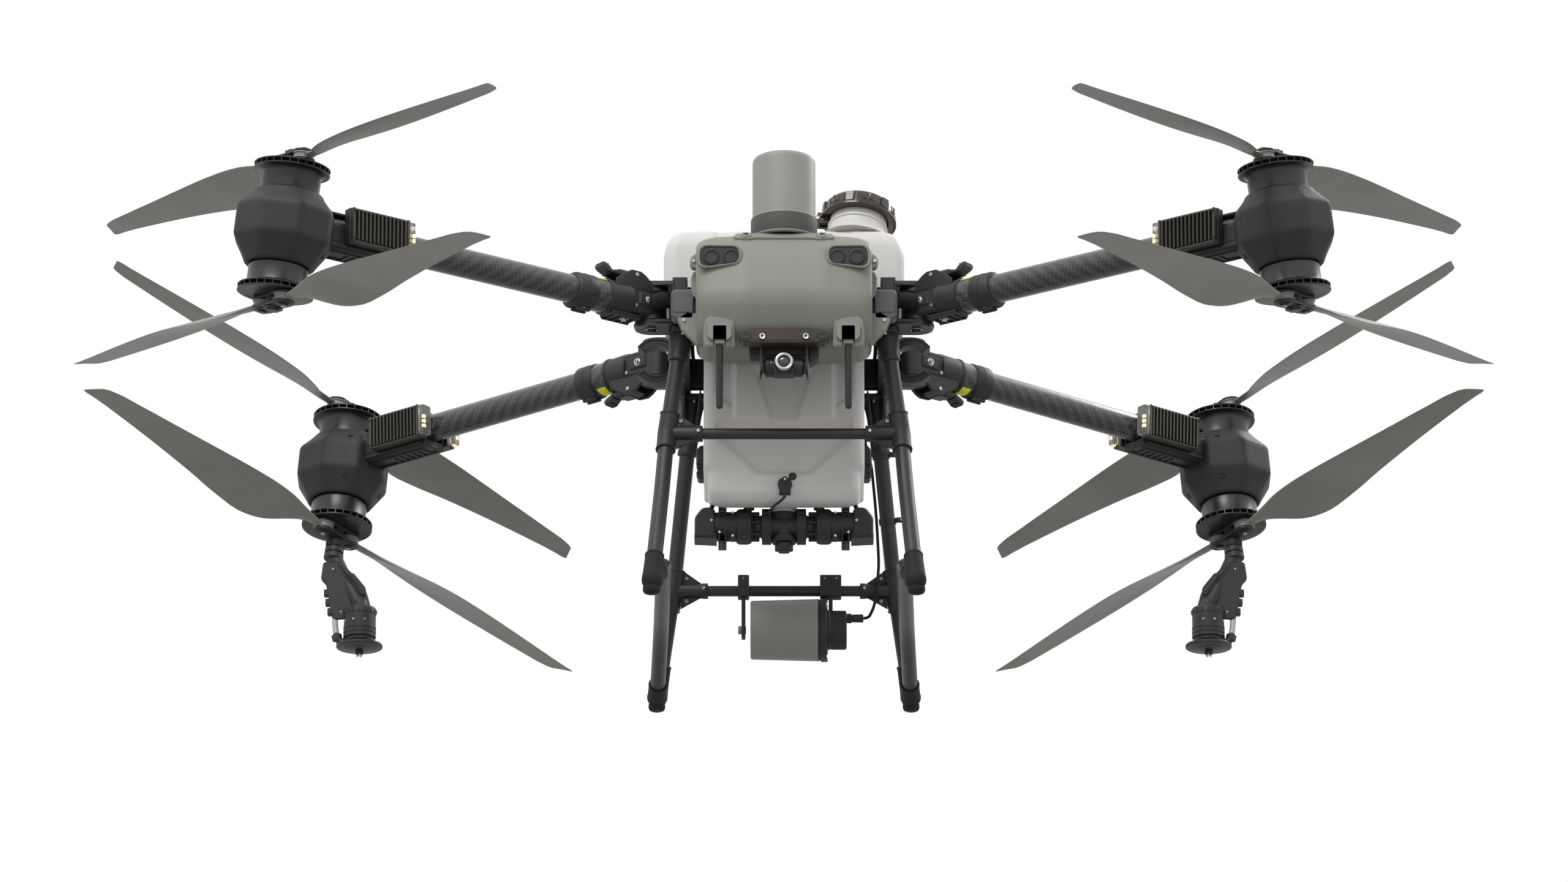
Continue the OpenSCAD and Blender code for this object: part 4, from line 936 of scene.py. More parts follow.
# ---------- storage clamps for the folded arms ----------
for sd, S in SIDES:
    c = np.array((224.0, -40, 512))
    p = []
    a0, a1, n = 40, 320, 44
    for y0, y1, r0, r1 in ((-14, 14, 28, 30.5), (-14, 14, 39, 42), (-12.5, -9.5, 30, 40)):
        loops = []
        for k in range(n + 1):
            a = math.radians(a0 + (a1 - a0) * k / n)
            cs, sn = math.cos(a), math.sin(a)
            loops.append(np.array([(r0 * cs, y0, r0 * sn), (r1 * cs, y0, r1 * sn), (r1 * cs, y1, r1 * sn),
                                   (r0 * cs, y1, r0 * sn)])[::-1])
        p.append(rings(loops))
    for k in range(12):
        p.append(put(span((29, -12, -0.8), (40.5, 13, 0.8), 0.3),
                     rot("y", -(a0 + 3 + k * (a1 - a0 - 6) / 11))))
    for a in (a0, a1):
        p.append(put(span((27.5, -14, -1.8), (42.5, 14, 1.8), 1), rot("y", -a)))
    p.append(span((-50, -14, -8), (-38, 14, 33), 2))
    for k in (-1, 1):
        p.append(span((-46, -13, k * 20 - 1.2), (-30, 13, k * 20 + 1.2), 0.4))
    piece(sd + "_arm_clamp_cradle", put(join(*p), S, move(c)), "plastic", "airframe",
          ("arm_clamps",) if sd == "left" else (), angle=34)
    s = [put(hexhead(7, 3), S, move(c), move(-38, 0, z), rot("y", 90)) for z in (14, 27)]
    piece(sd + "_arm_clamp_bolts", join(*s), "steel", "airframe")


# ---------- front shell ----------
def fillet_loop(pts, radii, n=5):
    """A closed outline with its corners rounded, n + 1 points to a corner."""
    p = [np.array(q, float) for q in pts]
    out = []
    for i, b in enumerate(p):
        a, c = p[i - 1], p[(i + 1) % len(p)]
        u, w = a - b, c - b
        lu, lw = np.linalg.norm(u), np.linalg.norm(w)
        cut = min(radii[i], lu * 0.45, lw * 0.45)
        s, e = b + u / lu * cut, b + w / lw * cut
        for k in range(n + 1):
            t = k / n
            out.append((1 - t) ** 2 * s + 2 * t * (1 - t) * b + t * t * e)
    return np.array(out)


def step(x, a, b):
    """Rises smoothly from 0 at a to 1 at b."""
    t = min(1.0, max(0.0, (x - a) / (b - a)))
    return t * t * (3 - 2 * t)


SHELL = [(-138, 476), (-262, 462), (-306, 474), (-328, 526), (-330, 546), (-315, 640), (-288, 664),
         (-138, 672)]
SHELL_R = [4, 22, 26, 18, 20, 12, 12, 4]


def shell_part():
    xs = [(0, 0), (40, 0), (57, 0), (60, 0.0), (74.5, 0.0), (77.5, 0.6), (92, 0.6), (108, 0.9), (118, 1.3),
          (128, 2.3), (136, 4.0), (143, 6.8), (148, 10.2), (151, 14), (152.6, 18.5), (153, 23)]
    sts = [(-x, d) for x, d in xs[:0:-1]] + xs
    loops = []
    for x, d in sts:
        p = inset(SHELL[::-1], d)[::-1]
        l = fillet_loop(p, [r + d * 0.6 for r in SHELL_R], 6)
        a = abs(x)
        q = []
        for y, z in l:
            front = step(-y, 250, 300)
            back = 7.5 * max(0.0, min(1.0, (a - 76) / 66)) * front
            # the middle panel is set back a little below the crease
            low = step(560 - z, 0, 60) * step(76 - a, 0, 30) * 3.5 * front
            top = step(z - 628, 0, 14) * step(84 - a, 0, 14) * 4.0 * front
            q.append((x, y + back + low + top, z))
        loops.append(np.array(q))
    return rings(loops)


def bezel_outline(grow=0.0, n=7):
    """Around the two lamps of the right side, in X and Z."""
    c = [(79 - grow, 629 + grow), (144 + grow, 630 + grow), (145 + grow, 594 - grow),
         (79 - grow, 603 - grow)]
    return fillet_loop(c, [14 + grow, 13 + grow, 15 + grow, 13 + grow], n)


def at_front(y, tilt=1.0):
    """Turns an outline drawn in X and Z into the plane of the lamps."""
    return mul(move(0, y - 318, 612), rot("x", tilt), move(0, 318, -612))


p = [shell_part()]
p.append(span((-88, -283, 640), (88, -190, 670), 6))
lip = fillet_loop([(-88, 0), (-88, -13), (-62, -16), (-50, -12), (50, -12), (62, -16), (88, -13), (88, 0),
                   (60, 9), (-60, 9)], [8, 9, 8, 10, 10, 8, 9, 8, 6, 6], 5)
p.append(put(prism(lip, 7, 1.6), move(0, -288, 657), rot("x", 38)))
for x in (-66, 66):
    p.append(put(tube(10.5, 5.6, 9.5, 36, 1.2), move(x, -288, 657), rot("x", 38), move(0, -4, 0)))
p.append(put(lathe([(60.5, 668), (62.5, 669.5), (62.5, 672), (60, 673.2), (56, 673.2), (56, 668)], 64,
                   closed=True), move(0, -236, 0)))
for sd, S in SIDES:
    # raised rim round the lamps
    rim = bezel_outline(1.0)
    path = [np.array((q[0], -319.2, q[1])) for q in rim]
    loops = []
    c0 = np.mean(path, axis=0)
    for q in path:
        d = q - c0
        d /= np.linalg.norm(d)
        ring = []
        for k in range(12):
            a = 2 * PI * k / 12
            ring.append(q + d * (2.6 + 3.4 * math.cos(a)) + np.array((0, -1.0, 0)) * 4.2 * math.sin(a))
        loops.append(np.array(ring))
    p.append(put(rings(loops, closed=True), S, at_front(0)))
    # seat of the antenna hinge
    p.append(put(side_prism(fillet_loop([(84, 450), (138, 450), (140, 474), (136, 500),
                 (128, 506), (94, 506), (86, 500)], [5, 8, 10, 8, 6, 6, 8], 4), -314, -286, 2.4), S))
    p.append(put(side_prism(fillet_loop([(90.5, 466), (96, 460), (100.6, 460),
                 (100.6, 484.6), (121.4, 484.6), (121.4, 460), (126, 460), (131.5, 466), (131.5, 488),
                 (126, 494), (96, 494), (90.5, 488)], [2, 1, .6, 1, 1, .6, 1, 2, 3, 3, 3, 3], 3),
                 -323.5, -300, 1.0), S))
    for x in (96.8, 125.2):
        p.append(put(cyl(6.4, 8, 28, 1), S, move(x - 4, -310, 462), rot("y", 90)))
        p.append(put(span((x - 4, -316, 452), (x + 4, -286, 470), 1), S))
        p.append(put(lathe([(1.6, 0), (2.6, 0), (2.6, 1.6), (1.6, 2)], 16), S, move(x, -316, 449.5)))
    # ears beside the shell
    p.append(put(side_prism([(146, 572), (151, 556), (160, 560), (162, 594), (158, 604), (146, 610)],
                            -262, -214, 2), S))
    p.append(put(prism(fillet_loop([(140, -238), (178, -234), (188, -224), (188, -172),
                 (140, -152)], [3, 8, 6, 8, 3], 3), 9, 1.6, 573), S))
    p.append(put(side_prism([(140, 476), (150, 470), (178, 500), (186, 520), (168, 532), (148, 528)],
                            -262, -246, 2), S))
    p.append(put(side_prism(fillet_loop([(146, 606), (156, 602), (163, 608), (163, 622),
                 (156, 629), (146, 632)], [2, 6, 6, 6, 6, 2], 3), -286, -270, 2), S))
piece("front_shell_skin", join(*p), "shell", "airframe", angle=42)

b = [put(side_prism(fillet_loop([(-74, 454), (-50, 450.5), (50, 450.5), (74, 454),
     (78, 463), (72, 472), (50, 478.5), (-50, 478.5), (-72, 472), (-78, 463)],
     [8, 16, 16, 8, 8, 8, 18, 18, 8, 8], 4), -333.5, -300, 2.2)),
     side_prism(fillet_loop([(-56, 455), (56, 455), (56, 473), (-56, 473)],
     [6, 6, 6, 6], 4), -334.6, -330, 0.8)]
for x in (-65.5, 65.5):
    b.append(put(tube(8.6, 5.8, 3, 32, 0.8), move(x, -332.2, 463), rot("x", 90)))
for x in (-37.5, 37.5):
    b.append(put(tube(8.0, 6.2, 2.4, 32, 0.6), move(x, -333.6, 463), rot("x", 90)))
piece("camera_bar", join(*b), "bar", "airframe", angle=36)
s, d, w = [], [], []
for x in (-37.5, 37.5):
    w.append(put(lathe([(0.1, 0), (6.1, 0), (6.1, 1.4), (5.2, 2.0), (2.2, 1.3), (0.1, 1.1)], 32),
                 move(x, -333.2, 463), rot("x", 90)))
for x in (-65.5, 65.5):
    d.append(put(hexhead(10, 3), move(x, -332.6, 463), rot("x", 90)))
for x in (-66, 66):
    d.append(put(hexhead(10.4, 4), move(x, -288, 657), rot("x", 38), move(0, -4, 5.6)))
for sd, S in SIDES:
    s.append(put(hexhead(6.4, 3), S, move(157, -286, 616), rot("x", 90)))
    s.append(put(hexhead(6.4, 3), S, move(178, -226, 582)))
    s.append(put(hexhead(6.4, 3), S, move(174, -262, 516), rot("x", 90)))
piece("camera_bar_windows", join(*w), "steel", "airframe")
piece("front_shell_dark_screws", join(*d), "dark_screw", "airframe")
piece("front_shell_screws", join(*s), "steel", "airframe")

# camera bracket of the shell and the black bay behind it
p = []
for sd, S in SIDES:
    p.append(put(side_prism([(37, 414), (42, 400), (42, 462), (37, 462)], -314, -270, 0.8), S))
    p.append(put(span((36.6, -300, 408), (39, -284, 440), 0.8), S))
p.append(span((-42, -300, 455), (42, -272, 461), 1))
p.append(span((-60, -296, 440), (60, -262, 462), 2))
p.append(put(side_prism([(43, 461), (60, 461), (60, 436), (44, 424)], -300, -268, 1)))
piece("camera_bracket", join(*p), "plastic", "airframe", ("front_shell",), angle=34)

# headlights
for i, (sd, S) in enumerate(SIDES):
    F = mul(S, at_front(0))
    base = [put(side_prism(bezel_outline(0.6), -320.4, -308, 1.0), F)]
    for x in (92, 126):
        base.append(put(lathe([(11.2, -1), (13.6, 0), (14.2, 1.4), (13.4, 2.8), (11.6, 3.2), (10.6, 1.6)],
                              40, (False, False)), F, move(x, -320.2, 612), rot("x", 90)))
    piece(sd + "_headlight_bezel", join(*base), "plastic", "airframe", angle=34)
    cup, glass = [], []
    for x in (92, 126):
        T = mul(F, move(x, -320.6, 612), rot("x", 90))
        cup.append(put(lathe([(1.9, -7.4), (3.4, -7.2), (6.5, -5.0), (9.4, -1.6), (10.9, 1.2),
                              (11.0, 1.8)], 40, (True, False)), T))
        glass.append(put(lathe([(0.1, -4.2), (2.8, -4.0), (3.6, -2.6), (2.6, -1.0), (0.1, -0.5)], 32), T))
    piece(sd + "_headlight_reflectors", join(*cup), "reflector", "airframe",
          ("headlights",) if i == 0 else ())
    piece(sd + "_headlight_emitters", join(*glass), "led", "airframe")

# front radar
piece("front_radar_band", put(join(lathe([(52, 671), (57.4, 671), (58, 672), (58, 704.8), (57.4, 705.4),
                                          (52, 705.4)], 96)), move(0, -236, 0)), "radar_dark", "airframe",
      angle=40)
piece("front_radar_dome", put(join(lathe([(50, 705.6), (57.2, 705.6), (57.8, 706.2), (57.6, 707.6),
      (55.2, 709.6), (55, 712), (55, 812), (54.4, 816), (52.4, 819.4), (49, 821.4), (45, 822),
      (0.1, 822)], 96)), move(0, -236, 0)), "radar", "airframe", ("front_radar",), angle=40)

# antennas
for sd, S in SIDES:
    T = mul(S, move(111, -310, 462))
    a = [put(lathe([(0.1, -124), (3.2, -123), (5.3, -120.6), (6, -118), (6, -14), (6.6, -12), (7.4, -9)],
                   32), T),
         put(cyl(9.6, 18, 36, 1.2, -9), T, rot("y", 90))]
    piece(sd + "_antenna_rod", join(*a), "plastic", sd + "_antenna", (sd + "_antenna",))
    k = [put(span((-9, -10.5, -8), (9, 8.5, 9.6), 1.4), T),
         put(span((-9.2, -11.6, 9), (9.2, 8, 20), 1.2), T),
         put(cyl(9.9, 17, 36, 0.8, -8.5), T, rot("y", 90))]
    piece(sd + "_antenna_hinge", join(*k), "shell", sd + "_antenna", angle=34)

# camera
C = move(0, -292, 420)
c = [put(cyl(17.2, 66, 44, 1.2, -33), C, rot("y", 90)), put(span((-20, -17, -17), (20, 14, 17), 3), C)]
for x in (-32, -27, -22):
    c.append(put(tube(18.4, 15, 2.4, 44, 0.6, x), C, rot("y", 90)))
c.append(put(cyl(12, 3, 36, 0.8, -36), C, rot("y", 90)))
c.append(put(cyl(13, 3, 36, 0.8, 33), C, rot("y", 90)))
c.append(put(lathe([(16, 12), (16, 20), (15.2, 21), (15.2, 27)], 44, (True, False)), C, rot("x", 90)))
for k in range(24):
    c.append(put(span((-1.1, -0.9, 18), (1.1, 0.9, 26.5), 0.4), C, rot("x", 90), rot("z", k * 15),
                 move(0, 15.6, 0)))
c.append(put(lathe([(16.2, 15.6), (17.0, 16.4), (17.0, 18.4), (16, 19)], 44, (False, False)), C,
             rot("x", 90)))
piece("camera_body", join(*c), "frame", "camera_head", ("camera_head",), angle=34)
c = [put(lathe([(10.4, 30), (11, 33), (13.4, 34.2), (15.3, 33.4), (15.6, 31), (15.4, 26)][::-1], 48,
               (False, False)), C, rot("x", 90))]
c.append(put(hexhead(4, 1.6), C, move(-21, -16, 3), rot("x", 90)))
c.append(put(hexhead(4, 1.6), C, move(35.8, 0, 0), rot("y", 90)))
piece("camera_ring", join(*c), "steel", "camera_head")
piece("camera_lens", put(lathe([(0.1, 32.0), (4, 31.8), (8, 30.8), (11, 29), (11.5, 27)][::-1], 40,
      (False, False)), C, rot("x", 90)), "lens", "camera_head")


# ---------- tank ----------
def tank_relief(x, z):
    """How far the front wall of the tank is set in at x, z."""
    a = abs(x)
    up = step(z, 381, 394)
    hip = step(88 - a, -3, 5) * step(512 - z, -6, 8) * up
    v = 27 + (z - 401) * 0.305
    groove = step(v - a, -2, 5) * step(492 - z, 0, 20) * up
    f = -7.0 * hip + 8.5 * groove * hip
    f += 5.0 * math.exp(-((a - v) / 2.2) ** 2) * step(470 - z, 0, 6) * step(z, 399, 404) * -0.35
    low = 1 - up
    w0 = 36 + max(0.0, z - 297) * 1.04
    w1 = 55 + max(0.0, z - 297) * 1.12
    f += 9.0 * low * (1 - step(a, w0, w1)) * step(z, 290, 300)
    f += -3.5 * low * (1 - step(a, 36, 55)) * (1 - step(z, 292, 299))
    f += 4.0 * up * (1 - step(a, 118, 122)) * step(a, 88, 94) * step(z, 412 + (a - 90) * 0.9,
                                                                     418 + (a - 90) * 0.9)
    return f


def corner(cx, cy, r, z, start, n=7):
    """The points between the ends of a quarter circle."""
    angles = [math.radians(start + 90 * q / n) for q in range(1, n)]
    return [(cx + r * math.cos(a), cy + r * math.sin(a), z) for a in angles]


def tank_part():
    zs = [246, 247, 249, 252, 256, 262]
    zs += list(np.arange(268, 616, 4.0))
    zs += [616, 620, 623, 625, 626.5, 628, 630, 634, 640, 652, 668, 684, 700]
    zs += [708, 716, 724, 731, 737, 742, 745.5, 747.4, 748]
    loops = []
    nx, ny = 71, 14
    for z in zs:
        k = min(1.0, max(0.0, (z - 246) / 22))
        rnd = math.sqrt(max(0.0, 1 - (1 - k) ** 2))
        hw = 112 + 21 * rnd
        if z > 300:
            hw = 133 + 8 * step(z, 300, 312)
        if z > 616:
            hw = 141 + 71 * step(z, 616, 634)
        y0 = -60 - 24 * rnd
        if z > 300:
            y0 = -84 - 3 * step(z, 300, 330)
        y1 = min(199.0, -36 + (z - 246) / 0.345)
        if z > 700:
            t = (z - 700) / 48
            c = 1 - math.sqrt(max(0.0, 1 - t ** 3.2))
            hw -= 8 * t + 26 * c
            y0 += 24 * c
            y1 -= 24 * c
        r = min(26.0 if z < 616 else 22.0, (y1 - y0) / 2 - 0.5)
        xs = np.linspace(-(hw - r), hw - r, nx)
        ys = np.linspace(y0 + r, y1 - r, ny)
        pts = [(x, y0 + tank_relief(x, z) * step(z, 250, 262), z) for x in xs]
        pts += corner(hw - r, y0 + r, r, z, -90)
        pts += [(hw, y, z) for y in ys]
        pts += corner(hw - r, y1 - r, r, z, 0)
        pts += [(x, y1, z) for x in xs[::-1]]
        pts += corner(-hw + r, y1 - r, r, z, 90)
        pts += [(-hw, y, z) for y in ys[::-1]]
        pts += corner(-hw + r, y0 + r, r, z, 180)
        loops.append(np.array(pts))
    return rings(loops)


CAP = mul(move(131, 0, 778), rot("x", -14), rot("y", 5))
p = [tank_part(), put(lathe([(20.5, 244.6), (22.4, 244.6), (23, 246), (22.2, 250), (23.5, 262), (30, 276),
                             (30, 290), (20, 290)], 48))]
p.append(put(lathe([(51, -62), (51, -6), (53.5, -4.6), (53.5, -1.6), (51, 0), (51, 24), (49.6, 25.6),
                    (46, 26), (45, 24), (45, -62)], 72, (False, False), closed=True), CAP))
p.append(put(lathe([(70, -40), (62, -33), (56, -24), (51, -14), (48, -14), (48, -40)], 72), CAP))
# ribs and grip on top, and the rear wall
p.append(span((-120, 30, 744), (40, 36, 752), 2))
p.append(span((-120, 110, 744), (180, 116, 752), 2))
for x in (-120, -66):
    p.append(put(prism(fillet_loop([(-8, 34), (8, 34), (8, 112), (-8, 112)], [6] * 4, 4), 8, 2, 743),
                 move(x, 0, 0)))
for x in (-70, 0, 70):
    p.append(span((x - 12, 192, 360), (x + 12, 203, 600), 5))
piece("tank_hull", join(*p), "tank", "tank", ("tank",), angle=50)
k = []
for s in (-1, 1):
    k.append(put(cyl(6, 6, 24, 0.6, s * 10.5 - 3), CAP, move(-72, 0, 6), rot("x", -90)))
    k.append(put(span((-72, s * 10.5 - 3, 0), (-48, s * 10.5 + 3, 8), 1), CAP))
piece("tank_cap_hinge_ears", join(*k), "cap", "tank")
piece("tank_cap_screw", join(put(cyl(2.4, 27, 16, 0.4, -13.5), CAP, move(-72, 0, 6), rot("x", 90)),
                             put(hexhead(6.4, 2), CAP, move(-72, -13.5, 6), rot("x", 90))),
      "steel", "tank")
b = []
for sd, S in SIDES:
    b.append(put(side_prism(fillet_loop([(138, 324), (150, 324), (153, 328), (153, 380),
                 (148, 386), (138, 386)], [2, 2, 2, 4, 5, 2], 4), 42, 70, 1.6), S))
    for z in (334, 350):
        b.append(put(span((146, 39, z), (154.5, 71, z + 3), 1), S))
    b.append(put(span((148, 46, 352), (155, 66, 382), 2), S))
    b.append(put(cyl(3, 34, 20, 0.5, -17), S, move(150, 56, 346), rot("x", 90)))
# level sensor plug, its lead and the button above it
b.append(put(side_prism(fillet_loop([(-6, 254), (6, 254), (9, 262), (13, 270), (11, 279),
             (5, 283), (-5, 283), (-11, 279), (-13, 270), (-9, 262)], [2, 2, 3, 4, 4, 3, 3, 4, 4, 3], 3),
             -95, -80, 2), move(1.5, 0, 0)))
b.append(put(span((-4, -98, 272), (4, -92, 284), 1), move(1.5, 0, 0)))
for s in (-1, 1):
    b.append(put(span((s * 8 - 2, -94, 253), (s * 8 + 2, -84, 262), 1), move(1.5, 0, 0)))
b.append(put(lathe([(0.1, 0), (7.4, 0), (7.6, 2.6), (6.4, 5), (3, 6), (0.1, 6.1)], 32), move(15, -84, 287),
             rot("x", 90)))
b.append(sweep(smooth_path([(1.5, -90, 256), (1, -90, 248), (-8, -86, 241), (-18, -72, 238),
                            (-26, -50, 234), (-27, -26, 231)], soft=0.9), 2.5, 14))
piece("tank_fittings", join(*b), "plastic", "tank", angle=34)
piece("tank_fitting_screws", join(put(hexhead(4, 1.6), move(1.5, -98, 279), rot("x", 90))), "steel", "tank")

# cap
c = [lathe([(54, 9.6), (66, 9.6), (67.6, 10.6), (67.6, 14), (65, 15.4), (63.6, 17), (63.4, 34), (62, 37),
            (58, 38.2), (57, 42), (55, 43.4), (40, 43.8), (38, 42), (36, 40.6), (0.1, 40.4)], 96,
            (False, True)),
     lathe([(54, 26), (54, 9.6)], 72, (False, False))]
for k in range(12):
    a = 15 + 30 * k
    big = k % 2 == 0
    c.append(put(span((61.5, -(8 if big else 3), 15.2), (67 if big else 65.2, 8 if big else 3, 36.4), 1.6),
                 rot("z", a)))
    if not big:
        c.append(put(span((60, -9, 22), (64.6, 9, 25), 0.8), rot("z", a)))
for k in range(36):
    c.append(put(span((62.4, -0.9, 17), (64.4, 0.9, 34), 0.5), rot("z", k * 10 + 5)))
for a in (0, 60, 120):
    c.append(put(span((-50, -7, 38), (50, 7, 46), 3), rot("z", a)))
c.append(put(cyl(6, 14, 24, 0.6, -7), move(-72, 0, 6), rot("x", 90)))
c.append(span((-74, -7, 8), (-60, 7, 24), 2))
piece("tank_cap_body", put(join(*c), CAP), "cap", "tank_cap", ("tank_cap",), angle=36)

# ---------- pumps ----------
p, s = [], []
for sd, S in SIDES:
    X = mul(S, move(0, 0, 222), rot("y", 90))
    p.append(put(lathe([(21, 0), (21, 22), (30.6, 22.4), (30.6, 38.6), (21, 39), (19.5, 41), (19.5, 50),
                        (26, 56), (29.5, 58), (30, 60), (30, 81), (28.6, 83), (26.4, 84), (26.4, 92),
                        (26, 93), (26, 108), (25.4, 109), (25.4, 122), (24.6, 124), (22, 124)], 64,
                       (False, True)), X))
    for q in range(20):
        p.append(put(span((29.6, -2.2, 22.6), (31.6, 2.2, 38.4), 0.8), X, rot("z", q * 18)))
    for q in range(8):
        p.append(put(span((20, -1.2, 43), (27, 1.2, 57), 0.5), X, rot("z", q * 45)))
        p.append(put(span((28.6, -5, 62), (31.0, 5, 79), 0.8), X, rot("z", q * 45 + 12)))
    # motor cover with its slanted face
    out = fillet_loop([(121, 196), (151, 196), (156.5, 201), (156.5, 232), (144, 249), (133, 251),
                       (121, 246)],
                      [3, 5, 4, 5, 6, 5, 3], 4)
    p.append(put(side_prism(out, -27, 27, 3), S))
    p.append(put(side_prism([(118, 194), (157, 196), (157, 203), (118, 205)], -25, 25, 2), S))
    # clamp hung from the tank
    for x in (101, 112.5):
        p.append(put(span((x, -24, 186), (x + 2.4, 24, 262), 0.7), S))
    for z in (186, 203, 220, 237, 254):
        p.append(put(span((101, -24, z), (115, 24, z + 2.6), 0.6), S))
    p.append(put(span((101, -22, 176), (108, -10, 188), 1), S))
    p.append(put(cyl(4.6, 12, 24, 0.6, 101), S, move(0, -22, 250), rot("y", 90)))
    p.append(put(lathe([(2.4, 0), (4.8, 0), (4.8, 5), (3.6, 6), (2.4, 6)], 24), S, move(108, -24, 250),
                 rot("x", 90)))
    # outlet stubs and short hoses up to the tank
    p.append(put(sweep(smooth_path([(66, -6, 240), (62, -12, 252), (60, -14, 262)], soft=0.8), 7, 20), S))
    p.append(put(lathe([(7, 0), (9.4, 0), (9.4, 6), (7, 6)], 24), S, move(61.5, -12.6, 250)))
    p.append(put(sweep(smooth_path([(134, -6, 246), (128, -8, 252), (124, -8, 262)], soft=0.8), 4, 16), S))
    for x, y, z in ((113, -24.8, 205), (127, -27.2, 226), (90, -25.6, 240), (90, -25.6, 198)):
        s.append(put(hexhead(4.6, 1.8), S, move(x, y, z), rot("x", 90)))
p.append(put(lathe([(21, 0), (21, 8), (25, 9), (25.4, 22), (24, 22.6), (23.6, 20), (21, 19)], 56,
                   (True, False)),
             move(0, 0, 222)))
for q in range(24):
    p.append(put(span((24, -1.6, 231), (26.2, 1.6, 243.4), 0.7), rot("z", q * 15)))
p.append(put(lathe([(15, -30), (21, -30), (22.4, -28), (22.4, -20), (21, -18), (21, 4)], 56, (True, True)),
             move(0, 0, 222)))
p.append(put(lathe([(22.2, -26.4), (23.4, -26), (23.4, -22.6), (22.2, -22)], 56, (False, False)),
             move(0, 0, 222)))
piece("pump_block", join(*p), "plastic", "tank", ("pump_unit",), angle=34)
piece("pump_screws", join(*s), "steel", "tank")
k = [lathe([(6, 0), (12, 0), (15, -1), (15.6, -4), (15.6, -8), (13, -13), (10, -16), (6, -16.4),
            (0.1, -16.4)][::-1],
           48, (True, False))]
for q in range(6):
    k.append(put(cyl(3.4, 13.4, 20, 1, -14.6), rot("z", q * 60), move(12.6, 0, 0)))
piece("drain_knob_grip", put(join(*k), move(0, 0, 191.7)), "plastic", "drain_knob",
      ("drain_knob",), angle=34)

# ---------- battery ----------
p = [prism(fillet_loop([(-115, 262), (115, 262), (115, 412), (-115, 412)], [12] * 4, 5), 234, 4, 501)]
for z in (520, 540, 560):
    p.append(span((-100, 410, z), (100, 413.4, z + 8), 1.2))
p.append(span((-70, 262, 733), (70, 410, 738), 3))
for x in (-96, 96):
    p.append(span((x - 6, 300, 733), (x + 6, 380, 737), 2))
p.append(span((-62, 408, 655), (62, 414, 718), 2.4))
p.append(sweep(smooth_path([(-44, 411, 681), (-44, 432, 681), (44, 432, 681), (44, 411, 681)], soft=0.45),
               8, 24))
piece("battery_case", join(*p), "plastic", "battery", ("battery",), angle=36)
led = [put(cyl(2.6, 1.2, 20, 0.3), move(x, 413.6, 612), rot("x", -90)) for x in (-18, -6, 6, 18)]
piece("battery_lights", join(*led), "led", "battery")
piece("battery_badge_plate", join(span((-34, 411, 600), (34, 414, 624), 1.4)), "frame", "battery")

# ---------- rear radar ----------
R = mul(move(0, 313, 126), rot("y", 90))
piece("rear_radar_drum", put(join(lathe([(0.1, -60), (49, -60), (51.4, -59), (52.6, -56.4), (55.6, 58),
      (55.6, 60.4), (50, 60.4)], 96)), R), "radar", "airframe", ("rear_radar",), angle=36)
p = [lathe([(48, 60.6), (55.4, 60.6), (55.8, 61.6), (55.8, 63), (54.4, 63.6), (54.4, 65.4), (56.6, 66),
            (57, 67), (57, 74.6), (56, 76), (50, 76.6), (36, 77), (36, 80), (35, 81), (34.4, 84),
            (34.4, 110.6), (33, 112), (0.1, 112)], 96)]
for k in range(36):
    p.append(put(span((33.4, -1, 84), (35, 1, 110), 0.4), rot("z", k * 10)))
for k in range(8):
    p.append(put(cyl(4, 8, 20, 0.8, 70), rot("z", k * 45 + 20), move(53, 0, 0)))
p.append(put(lathe([(4.8, 0), (8, 0.4), (8, 9), (6.6, 10), (6.6, 11), (7.4, 12), (7.4, 28), (6.6, 30),
                    (3, 30)], 32),
             move(-22, 0, 112)))
for k in range(6):
    p.append(put(span((6.8, -1.4, 0.6), (8.8, 1.4, 8.6), 0.5), move(-22, 0, 112), rot("z", k * 60)))
p = [put(join(*p), R)]
# hangers
for x0, x1, w, low in ((-76, -69, 15, 110), (80, 87, 22, 132)):
    xm = (x0 + x1) / 2
    wide = 10 if w < 20 else 19
    p.append(span((xm - wide, 313 - 13.5, 186), (xm + wide, 313 - 8.4, 226), 1.5))
    p.append(span((xm - wide, 313 + 8.4, 186), (xm + wide, 313 + 13.5, 226), 1.5))
    p.append(put(tube(13.6, 10.05, 2 * wide, 40, 0.6, -wide), move(xm, 313, 199), rot("y", 90)))
    p.append(span((xm - wide, 305, 217), (xm + wide, 321, 226), 1.5))
    p.append(span((x0, 313 - w / 2 - 1, low), (x1, 313 + w / 2 + 1, 190), 1.4))
    if x0 < 0:
        p.append(put(cyl(11, x1 - x0, 32, 1, x0), move(0, 313, 126), rot("y", 90)))
piece("rear_radar_fittings", join(*p), "plastic", "airframe", angle=34)
piece("rear_radar_pin", put(cyl(7.4, 14, 32, 0.8, -82), R), "radar", "airframe")
s = []
for x in (-72.5, 73, 94):
    s.append(put(hexhead(4, 1.6), move(x, 299.4, 219), rot("x", 90)))
for a in (150, 210):
    s.append(put(hexhead(3.6, 1.6), R, rot("z", a), move(45, 0, 76.8)))
piece("rear_radar_screws", join(*s), "steel", "airframe")

